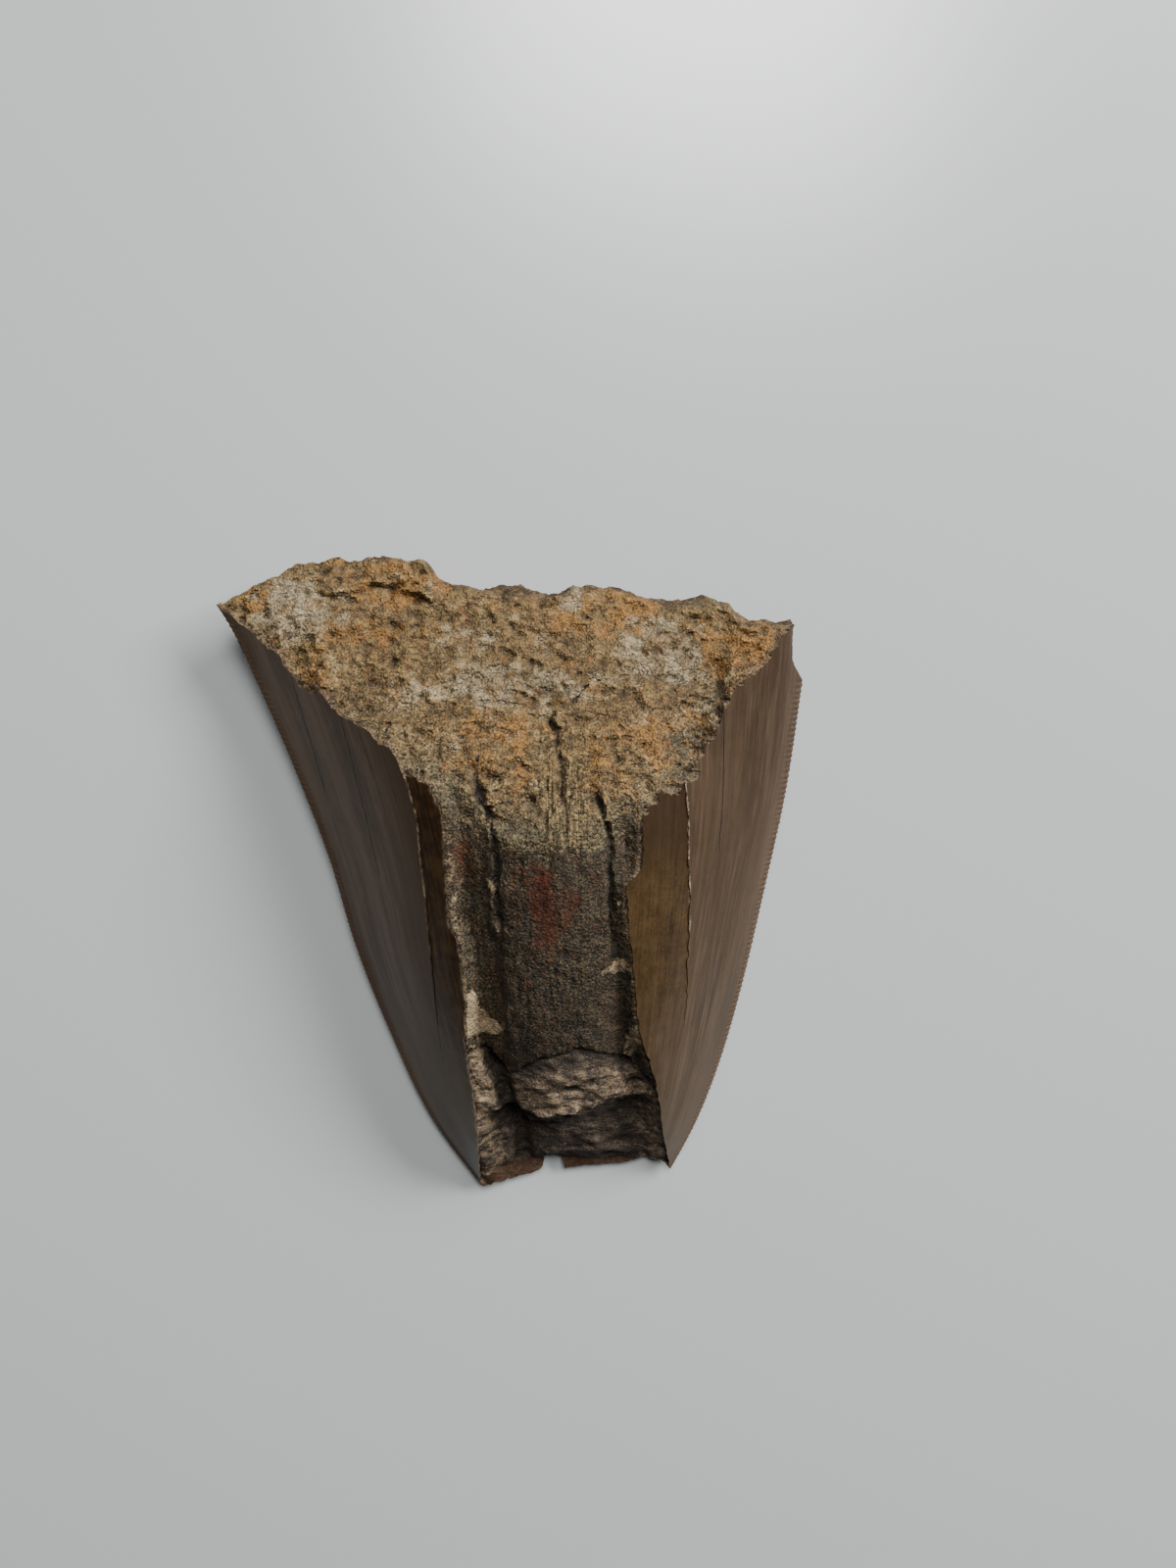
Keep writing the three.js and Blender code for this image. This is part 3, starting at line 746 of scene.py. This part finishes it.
class Value:  # one socket of a finish, for sums and products
    __add__, __radd__ = operators("ADD")
    __sub__, __rsub__ = operators("SUBTRACT")
    __mul__, __rmul__ = operators("MULTIPLY")
    __truediv__, __rtruediv__ = operators("DIVIDE")

    def __init__(self, finish, socket):
        self.finish = finish
        self.socket = socket

    def __abs__(self):
        return self.finish.maths("ABSOLUTE", self)

    def rise(self, low, high):  # 0 below low to 1 above high
        return self.finish.node("ShaderNodeMapRange", {"interpolation_type": "SMOOTHSTEP"},
                                {"Value": self, "From Min": low, "From Max": high})

    def fall(self, low, high):  # 1 below low to 0 above high
        return 1 - self.rise(low, high)


class Finish:  # a material, whose nodes all come from one method
    def __init__(self, name, look=None):
        self.look = look
        self.material = bpy.data.materials.new(name)
        self.material.use_nodes = True
        self.tree = self.material.node_tree
        self.shader = self.tree.nodes["Principled BSDF"]

    def put(self, socket, value):
        if isinstance(value, Value):
            self.tree.links.new(value.socket, socket)
        elif socket.type == "RGBA":
            socket.default_value = (*value, 1)
        else:
            socket.default_value = value

    def node(self, kind, settings, sockets, out=0):
        made = self.tree.nodes.new(kind)
        for name, setting in settings.items():
            setattr(made, name, setting)
        for key, value in sockets.items():
            self.put(made.inputs[key], value)
        return Value(self, made.outputs[out])

    def maths(self, operation, *terms):
        return self.node("ShaderNodeMath", {"operation": operation}, dict(enumerate(terms)))

    def spot(self):  # where a point is in the plans, in millimetres
        coordinate = self.node("ShaderNodeTexCoord", {}, {}, "Object")
        return self.node("ShaderNodeMapping", {}, {"Vector": coordinate, "Scale": [1 / mm] * 3,
                                                   "Location": (*crown["boxMiddle"], 0)})

    def parts(self, vector):
        return [self.node("ShaderNodeSeparateXYZ", {}, {0: vector}, i) for i in range(3)]

    def stretched(self, vector, factors):
        return self.node("ShaderNodeVectorMath", {"operation": "MULTIPLY"}, {0: vector, 1: factors})

    def shifted(self, vector, amounts):
        return self.node("ShaderNodeVectorMath", {"operation": "ADD"}, {0: vector, 1: amounts})

    def map(self, name, out="Fac"):
        return self.node("ShaderNodeAttribute", {"attribute_name": name}, {}, out)

    def noise(self, vector, size, detail, roughness=0.55):
        return self.node("ShaderNodeTexNoise", {}, {"Vector": vector, "Scale": 1 / size, "Detail": detail,
                                                    "Roughness": roughness})

    def cells(self, vector, size, out="Distance"):
        return self.node("ShaderNodeTexVoronoi", {}, {"Vector": vector, "Scale": 1 / size}, out)

    def grainTone(self, vector, size):  # one random number for each grain
        return self.parts(self.cells(vector, size, "Color"))[0]

    def mix(self, share, first, second):
        return self.node("ShaderNodeMix", {"data_type": "RGBA"}, {0: share, 6: first, 7: second}, 2)

    def tint(self, colour, share, name):  # with a colour of its look
        return self.mix(share, colour, self.look[name])

    def between(self, share, name):  # the two colours of a pair in its look
        return self.mix(share, *self.look[name])

    def bump(self, height):  # height in millimetres
        return self.node("ShaderNodeBump", {}, {"Height": height, "Distance": mm, "Strength": 1})

    def wear(self, **sockets):
        for name, value in sockets.items():
            self.put(self.shader.inputs[name.replace("_", " ")], value)


enamelLook = {
    # painted light: the left flank's colours are lighter and the right flank's darker, to offset the
    # stronger light on the right; the right's redder hue is the enamel's own
    "left": ((0.044, 0.027, 0.016), (0.108, 0.072, 0.045)),  # dark and light
    "right": ((0.024, 0.0135, 0.0062), (0.054, 0.0325, 0.016)),
    # a grey for the enamel's own streaks and for its painted sheen
    "streakAndSheenGrey": (0.115, 0.085, 0.064),
    "honeyLeft": ((0.02, 0.009, 0.003), (0.056, 0.029, 0.009)),
    "honeyRight": ((0.018, 0.0095, 0.0035), (0.062, 0.037, 0.014)),
    "bevel": (0.075, 0.044, 0.026),
    "chips": (0.28, 0.21, 0.14),
    "crack": (0.008, 0.006, 0.005),
    "bevelWidth": (1.2, 0.6),  # on the left and right edges
    "honeyEnd": ((-30, -12), (-30, -6)),  # where the honey facets fade, on the left and the right
    "hairlines": [((-0.667, 30), (-0.731, 5.5)), ((-0.835, 31.4), (-0.88, 17)),
                  ((0.692, 28.6), (0.717, 9.2))],  # from and to, as (share across, y)
}


def enamelFinish():
    paint = Finish("enamel", enamelLook)
    spot = paint.spot()
    flow = paint.map("flow", "Vector")
    w, y, upper = paint.parts(flow)
    streaks = paint.noise(paint.stretched(flow, (38, 0.05, 7)), 2.4, 4, 0.62)
    fineStreaks = paint.noise(paint.stretched(flow, (38, 0.045, 7)), 0.5, 3, 0.65)
    cloud = paint.noise(paint.stretched(flow, (38, 0.3, 7)), 8, 3, 0.5)
    mottle = paint.noise(spot, 2.2, 4, 0.62)
    speck = paint.noise(spot, 0.45, 3, 0.65)
    edgeGap, flake, strip = [paint.map(name) for name in ("edgeGap", "flake", "strip")]
    ragged = paint.noise(spot, 1.6, 4, 0.65) - 0.5
    rightSide = w.rise(-0.1, 0.3)
    leftSide = 1 - rightSide

    tone = (streaks * 0.8 + cloud * 0.5 + mottle * 0.2 + fineStreaks * 0.5).rise(0.74, 1.26)
    # streaky tone on both flanks, whose colour pairs carry the painted light of a lighter left and darker
    # right
    left = paint.between(tone, "left")
    right = paint.between(tone, "right")
    colour = paint.mix(rightSide, left, right)
    # grey streaks, partly the enamel's own and partly painted sheen, stronger on the left flank
    greyStreaksAndSheen = (streaks * 0.6 + fineStreaks * 0.7 - cloud * 0.4).rise(0.42, 0.72)
    colour = paint.tint(colour, greyStreaksAndSheen * (0.55 - 0.3 * rightSide), "streakAndSheenGrey")

    # painted sheen: the left flank greyer towards the tip
    colour = paint.tint(colour, y.fall(-38, -6) * leftSide * 0.5, "streakAndSheenGrey")
    colour = paint.mix(flake.rise(-7, -0.5) * leftSide * 0.8, colour, enamelLook["left"][0])
    # painted sheen: greyer along the right cutting edge
    colour = paint.tint(colour, edgeGap.fall(0.5, 5) * rightSide * 0.3, "streakAndSheenGrey")

    leftEnd, rightEnd = enamelLook["honeyEnd"]
    raggedY = y + ragged * 12
    long = raggedY.rise(*leftEnd) * leftSide + raggedY.rise(*rightEnd) * rightSide
    facet = (flake + ragged * 0.3).rise(-0.06, 0.1) * long
    facet = facet + (1 - facet) * (abs(strip - 0.5) + ragged * 0.03).fall(0.52, 0.58) * 0.6
    leftHoney = paint.between((fineStreaks * 0.6 + mottle * 0.6).rise(0.5, 0.75), "honeyLeft")
    freckles = speck * 0.4 + mottle * 0.4 + fineStreaks * 0.4 + cloud * 0.5
    rightHoney = paint.between(freckles.rise(0.6, 1.15) * (1 - 0.8 * y.rise(2, 12)), "honeyRight")
    colour = paint.mix(facet * 0.92, colour, paint.mix(rightSide, leftHoney, rightHoney))

    leftWidth, rightWidth = enamelLook["bevelWidth"]
    bevel = ((edgeGap + ragged * 0.7) / (leftWidth + (rightWidth - leftWidth) * rightSide)).fall(0.5, 1.1)
    colour = paint.tint(colour, bevel * (0.2 + 0.75 * speck), "bevel")

    dots = paint.noise(paint.stretched(spot, (1, 0.6, 1)), 0.8, 4, 0.75).rise(0.42, 0.62)
    flakeEdge = abs(flake + ragged * 0.3).fall(0.05, 0.22) * (y + ragged * 14).rise(-10, 4)
    ridgeEdge = abs(strip - 0.5).fall(0.501, 0.516) * (mottle + 0.08 - 0.2 * rightSide).rise(0.5, 0.62)
    chips = flakeEdge * dots * 0.8 + ridgeEdge * dots * 0.7
    colour = paint.tint(colour, chips, "chips")

    cracks = 0
    for (startW, startY), (endW, endY) in enamelLook["hairlines"]:
        low, high = sorted((startY, endY))
        lineW = startW + (y - startY) * ((endW - startW) / (endY - startY))
        gap = abs((w - lineW) * paint.map("width") + ragged * 0.35)
        cracks = gap.fall(0.03, 0.13) * y.rise(low - 2, low) * y.fall(high, high + 2) + cracks
    splitUnderFlake = abs(flake + ragged * 0.2).fall(0.02, 0.1) * y.rise(-26, -18) * y.fall(-2, 4)
    cracks = (cracks + splitUnderFlake * leftSide * 0.7) * upper.rise(0, 1)
    colour = paint.tint(colour, cracks * 0.8, "crack")

    height = 0.035 * fineStreaks + 0.05 * streaks - 0.12 * cracks + chips * 0.05
    height = height + speck * (bevel * 0.15 + 0.02)
    roughness = 0.42 + 0.2 * (cloud - 0.5) + 0.25 * (fineStreaks - 0.5) + 0.25 * bevel - 0.08 * facet
    paint.wear(Base_Color=colour, Roughness=roughness, Specular_IOR_Level=0.3, Coat_Weight=0.03,
               Coat_Roughness=0.25, Normal=paint.bump(height))
    return paint.material


dentineLook = {
    "golden": ((0.036, 0.021, 0.0085), (0.168, 0.108, 0.041)),  # dark and light
    "orange": (0.185, 0.09, 0.022),
    "pale": (0.228, 0.182, 0.111),
    "cream": (0.23, 0.17, 0.1),
    "olive": (0.112, 0.094, 0.052),
    "moss": (0.045, 0.04, 0.022),
    "ember": (0.17, 0.055, 0.016),
    # painted shade for hollows and crack grooves, and the colour of the dark fissures
    "deep": (0.01, 0.007, 0.005),
    "fibre": ((0.03, 0.019, 0.008), (0.25, 0.18, 0.08)),
    "band": ((0.004, 0.0032, 0.002), (0.053, 0.0375, 0.0185)),
    "umber": (0.038, 0.016, 0.007),
    "slate": (0.0165, 0.0185, 0.0115),
    "rust": (0.035, 0.0075, 0.001),
    "scoop": ((0.022, 0.0155, 0.0105), (0.152, 0.108, 0.067)),
    "shade": (0.025, 0.018, 0.0135),
    "section": ((0.02, 0.012, 0.007), (0.18, 0.12, 0.065)),
    "fringe": ((0.014, 0.007, 0.004), (0.065, 0.034, 0.018)),
    "orangePlaces": [  # middle, half sizes, strength
        ((5.4, 25.8), (1.2, 1.2), 0.6), ((1, 26.5), (2, 1.6), 0.6),
        ((-16, 45.6), (7, 3.4), 1), ((13.8, 41.8), (7, 3.6), 1), ((33.8, 36.3), (6.5, 4.8), 1),
        ((-22, 38), (6, 3), 0.6), ((-3, 24), (7, 4.5), 0.55), ((18, 21), (8, 7), 0.6),
        ((-27, 33), (4, 2), 0.7), ((-36, 44), (2.5, 2), 0.8),
    ],
    "palePlaces": [
        ((-30.3, 41.8), (6.5, 4.5), 1), ((21.5, 36.5), (6, 4.6), 0.9), ((0, 31.8), (14, 2.6), 0.75),
        ((8.5, 43.6), (2, 2), 1), ((-6, 38), (6, 2.4), 0.45), ((-16, 30), (5, 2), 0.5),
        ((27, 31), (5, 3), 0.4),
    ],
    "mossPlaces": [
        ((25, 22), (3, 4.6), 1), ((29.6, 28.2), (1.8, 2.6), 1), ((-38, 39.5), (2, 1.6), 0.8),
        ((6, 31.5), (6, 1.6), 0.6), ((27, 43.4), (3, 1.2), 0.9), ((-8, 15.5), (1.4, 2.4), 1.3),
        ((15.5, 12.6), (1.6, 1.6), 1), ((2.5, 12), (5, 1.6), 0.8),
    ],
    "rustPlaces": [((5, 1.4), (1.7, 5), 1), ((8.2, 2.4), (1.1, 4), 0.7), ((3.8, 6.6), (2.2, 1.6), 0.5),
                   ((-6, 9), (1.4, 3), 0.5)],
    "bandPalePlaces": [
        ((-2.2, 4.8), (0.9, 1), 1.3), ((-6.2, -14), (1, 3), 1.6), ((-4.9, -17), (2.5, 1.9), 1.7),
        ((-7.4, 3), (1, 6), 0.7), ((18, -12), (0.8, 5), 0.8),
        ((15, -7.3), (2, 1.1), 1.5), ((17.3, -19), (1, 3.6), 1.2), ((-4.6, 15.6), (1.6, 3), 1),
        ((15.5, 0), (0.7, 5), 0.6), ((-4, -17), (2.6, 1.7), 1.3),
        ((-5.2, -26), (0.9, 6), 1.1), ((-4.1, -34), (0.9, 6), 1), ((-3, -42), (0.9, 2.6), 0.8),
        ((20.6, -42.4), (2, 2), 0.9),
    ],
    "fibrePlaces": [((7.8, 15), (3.4, 6), 1), ((4.2, 23.5), (1.6, 2.4), 0.8)],
    # where the gully beside the scoop's left wall is painted dark as shade
    "gullyShadePlaces": [((-3.2, -21.6), (1.3, 3), 1), ((-1.8, -26), (1.4, 3.4), 1),
                    ((-0.6, -31), (1.4, 3.6), 1)],
}


def dentineFinish():
    paint = Finish("brokenDentine", dentineLook)
    spot = paint.spot()
    x, y, _ = paint.parts(spot)
    relief, buried, strip = [paint.map(name) for name in ("relief", "buried", "strip")]
    scoopMap = paint.map("scoop")
    warp = paint.noise(spot, 3, 4, 0.6) - 0.5
    warpToo = paint.noise(paint.shifted(spot, (40, 0, 0)), 3, 4, 0.6) - 0.5
    blotch = paint.noise(paint.shifted(spot, (0, 60, 0)), 3.6, 6, 0.72)
    blotchToo = paint.noise(paint.shifted(spot, (0, 0, 50)), 3.2, 6, 0.72)
    clump = paint.noise(spot, 1.1, 4, 0.7)
    grain, _, emberGrain = paint.parts(paint.cells(spot, 0.4, "Color"))
    smallGrain = paint.grainTone(spot, 0.21)
    grainGap = paint.cells(spot, 0.4)
    speck = paint.noise(spot, 0.28, 2, 0.6)
    point = paint.node("ShaderNodeNewGeometry", {}, {}, "Pointiness")
    # painted shade in hollows and painted highlight on crests, read from the surface's pointiness
    hollow = (0.5 - point).rise(0.012, 0.09)
    crest = (point - 0.5).rise(0.01, 0.08)
    fine = 0.5 + (grain - 0.5) * 0.5 + (smallGrain - 0.5) * 0.5 + (speck - 0.5) * 0.9

    def gathered(places, ragged, reach, low, high):  # a ragged share, fullest in some places
        near = 0
        for (middleX, middleY), (halfX, halfY), strength in dentineLook[places]:
            dx = (x + warp * 5 - middleX) / halfX
            dy = (y + warpToo * 5 - middleY) / halfY
            near = (dx * dx + dy * dy).fall(0.1, 2) * strength + near
        return (ragged + near * reach).rise(low, high)

    def lit(colour, amount):
        return paint.node("ShaderNodeVectorMath", {"operation": "SCALE"}, {0: colour, 3: amount})

    fissure = abs(paint.noise(paint.stretched(spot, (0.5, 1.1, 1.1)), 2.8, 4, 0.62) - 0.5).fall(0.003, 0.016)
    fissure = fissure * blotchToo.rise(0.46, 0.56)
    sandTone = clump * 0.6 + blotchToo * 0.4 + relief * 0.05
    sand = paint.between(sandTone.rise(0.33, 0.63), "golden")
    sand = paint.tint(sand, gathered("orangePlaces", blotch, 0.16, 0.55, 0.68) * 0.85, "orange")
    sand = paint.tint(sand, gathered("palePlaces", blotchToo, 0.2, 0.55, 0.74) * 0.85, "pale")
    sandGap = paint.map("sandGap")
    sand = paint.tint(sand, (sandGap + warp * 9).fall(1, 8) * 0.65, "olive")
    sand = paint.tint(sand, gathered("mossPlaces", clump, 0.2, 0.6, 0.74) * 0.75, "moss")
    sand = paint.tint(sand, emberGrain.rise(0.95, 0.98) * 0.5, "ember")

    crackShade = paint.map("crack")
    fibreNoise = paint.noise(paint.stretched(spot, (1, 0.16, 0.16)), 0.36, 4, 0.65)
    fibreShare = gathered("fibrePlaces", blotch * 0.5 + clump * 0.5, 0.4, 0.55, 0.95)
    sand = paint.mix(fibreShare * 0.6, sand, paint.between(fibreNoise.rise(0.36, 0.62), "fibre"))
    sharp = 1.15 + 0.8 * sandGap.fall(6, 22)
    # grain tone, with crests lighter as painted highlight
    sand = lit(sand, (0.9 + (fine - 0.5) * sharp + crest * 0.5) * (0.86 + 0.14 * sandGap.rise(2, 16)))
    # painted shade: darker in hollows and in the cracks' grooves; the fissures are dark lines of the dentine
    sand = paint.tint(sand, hollow * 0.6 + fissure * 0.7 + crackShade * 0.7, "deep")

    threads = paint.noise(paint.stretched(spot, (1, 0.2, 0.2)), 0.7, 4, 0.65)
    tiny = paint.noise(spot, 0.16, 2, 0.7)
    tone = tiny * 0.6 + speck * 0.6 + clump * 0.7 + threads * 0.5 + smallGrain * 0.35 + relief * 0.15
    band = paint.between(tone.rise(1.05, 1.75), "band")
    band = paint.tint(band, (blotch * 0.6 + threads * 0.5).rise(0.54, 0.66) * 0.55, "umber")
    band = paint.tint(band, (blotchToo * 0.7 + threads * 0.3).rise(0.5, 0.6) * 0.45, "slate")
    rustShare = gathered("rustPlaces", threads * 0.5 + clump * 0.5, 0.3, 0.48, 0.82)
    band = paint.tint(band, rustShare * (0.7 + 0.5 * tiny), "rust")
    band = paint.tint(band, gathered("bandPalePlaces", clump, 0.3, 0.64, 0.9) * 0.75, "cream")
    # grain tone, with crests lighter as painted highlight
    bandGrain = 3.2 * (smallGrain * 0.4 + tiny * 0.3 + speck * 0.3) - 0.55 + crest * 0.5
    band = lit(band, bandGrain * (1 + 0.35 * strip.fall(0.16, 0.3) - 0.14 * y.fall(-16, -2)))
    # painted shade: darker in hollows and in the cracks' grooves
    band = paint.tint(band, hollow * 0.7 + crackShade * 0.6, "deep")
    sandShare = (sandGap + warp * 8 + (clump - 0.5) * 5 + (grain - 0.5) * 1.5).rise(-1.2, 1.2)

    strata = paint.noise(paint.stretched(spot, (0.45, 1.2, 1.2)), 1, 5, 0.66)
    scoop = paint.between((strata + clump * 0.3 + relief * 0.05).rise(0.5, 0.8), "scoop")
    upper = (scoopMap + warp * 0.4).fall(0.16, 0.46) * strip.rise(0.15, 0.3)
    lower = scoopMap.rise(0.97, 1.1) * (0.5 - abs(strip - 0.5)).rise(0.06, 0.16)
    scoop = paint.tint(scoop, upper * 0.8, "shade")
    scoop = paint.tint(scoop, lower * 0.75, "shade")
    # painted shade in the gully beside the left wall
    scoop = paint.mix(gathered("gullyShadePlaces", clump, 0.4, 0.6, 0.85) * 0.75, scoop, dentineLook["band"][0])
    scoop = paint.tint(scoop, gathered("bandPalePlaces", clump, 0.3, 0.64, 0.86) * 0.5, "cream")
    # painted shade: darker in the scoop's hollows
    scoop = paint.mix(hollow * 0.8, lit(scoop, 0.4 + 1.2 * fine), dentineLook["deep"])
    colour = paint.mix((scoopMap + warp * 0.2).rise(0, 0.1), band, scoop)
    colour = paint.mix(sandShare, colour, sand)

    section = (buried + warp * 0.6).fall(0.6, 1)
    sectionTone = (fine + clump - 0.5).rise(0.2, 1.1)
    colour = paint.mix(section * 0.7, colour, paint.between(sectionTone, "section"))
    fringe = (scoopMap + warp * 0.06).rise(1.97, 2.04)
    colour = paint.mix(fringe, colour, paint.between(fine, "fringe"))

    height = (0.14 + 0.08 * sandShare) * (0.5 - grainGap) + 0.16 * clump + 0.08 * speck - 0.15 * fissure
    height = height + fibreShare * sandShare * fibreNoise * 0.5
    roughness = 0.8 - 0.3 * fringe + 0.15 * (speck - 0.5)
    paint.wear(Base_Color=colour, Roughness=roughness, Specular_IOR_Level=0.3,
               Normal=paint.bump(height * (1 - 0.8 * fringe)))
    return paint.material


# the crack walls: dark dust with painted shade
crackLook = {"dustAndShade": ((0.008, 0.006, 0.004), (0.05, 0.034, 0.02))}


def crackFinish():
    paint = Finish("crackShadow", crackLook)
    dustAndShade = paint.noise(paint.spot(), 0.6, 3)
    colour = paint.between(dustAndShade.rise(0.3, 0.7), "dustAndShade")
    paint.wear(Base_Color=colour, Roughness=0.9)
    return paint.material


print("mixing the finishes")
enamel = enamelFinish()
dentine = dentineFinish()
crackShadow = crackFinish()

print("modelling the crown")
tooth = crownBlank()
tooth.data.materials.append(enamel)
print("flaking its enamel")
for flake in flakes:
    cutAway(tooth, flakeCutter(flake), enamel)
print("breaking it")
for makeCutter in (rootCutter, farCutter, spallCutter, tipCutter, chipCutter):
    cutAway(tooth, makeCutter(), dentine)
    print("   ", makeCutter.__name__, len(tooth.data.polygons), "faces")
print("cracking it")
for crack in cracks:
    cutAway(tooth, crackCutter(crack), crackShadow)
tooth = dropCrumbs(tooth)
tooth.name = "tooth_surface"
tooth.data.name = "tooth_surface"
keepMaps(tooth)
pick(tooth)
bpy.ops.object.shade_smooth_by_angle(angle=math.radians(crown["smoothAngle"]))
tooth.data.calc_loop_triangles()
print("    the tooth has", len(tooth.data.loop_triangles), "triangles")


# floor, light and camera

studio = {
    "cameraHeight": 172,
    "cameraOver": (11, 40),
    "cameraTilt": 8,
    "lens": 26,
    "sensor": 36,
    "nearClip": 5,
    "floorSize": 3,
    "floor": (0.422, 0.442, 0.433),
    "floorRoughness": 0.27,
    "floorShine": 0.85,
    "room": (0.85, 0.9, 0.95),
    "roomStrength": 0.05,
    "lights": [  # place, size, watts
        ((0.12, 0.72, 0.95), (0.45, 0.45), 15.5),
        ((0.86, 0.66, 0.6), (0.8, 0.35), 33),
    ],
}


def setStage():
    bpy.ops.mesh.primitive_plane_add(size=studio["floorSize"])
    floor = bpy.context.object
    floor.name = "floor"
    cover = Finish("paleFloor")
    cover.wear(Base_Color=studio["floor"], Roughness=studio["floorRoughness"],
               Specular_IOR_Level=studio["floorShine"])
    floor.data.materials.append(cover.material)

    world = bpy.data.worlds.new("room")
    world.use_nodes = True
    world.node_tree.nodes["Background"].inputs["Color"].default_value = (*studio["room"], 1)
    world.node_tree.nodes["Background"].inputs["Strength"].default_value = studio["roomStrength"]
    bpy.context.scene.world = world

    for place, size, watts in studio["lights"]:
        bpy.ops.object.light_add(type="AREA", location=place)
        light = bpy.context.object
        light.data.shape = "RECTANGLE"
        light.data.size = size[0]
        light.data.size_y = size[1]
        light.data.energy = watts
        light.rotation_euler = Vector(place).to_track_quat("Z", "Y").to_euler()

    camera = bpy.data.objects.new("camera", bpy.data.cameras.new("camera"))
    bpy.context.scene.collection.objects.link(camera)
    middleX, middleY = crown["boxMiddle"]
    x, y = studio["cameraOver"]
    camera.location = Vector((x - middleX, y - middleY, studio["cameraHeight"])) * mm
    camera.rotation_euler = (-math.radians(studio["cameraTilt"]), 0, 0)
    camera.data.lens = studio["lens"]
    camera.data.sensor_width = studio["sensor"]
    camera.data.clip_start = studio["nearClip"] * mm
    bpy.context.scene.camera = camera


print("setting the stage")
setStage()
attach(tooth, "root")
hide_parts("tooth")
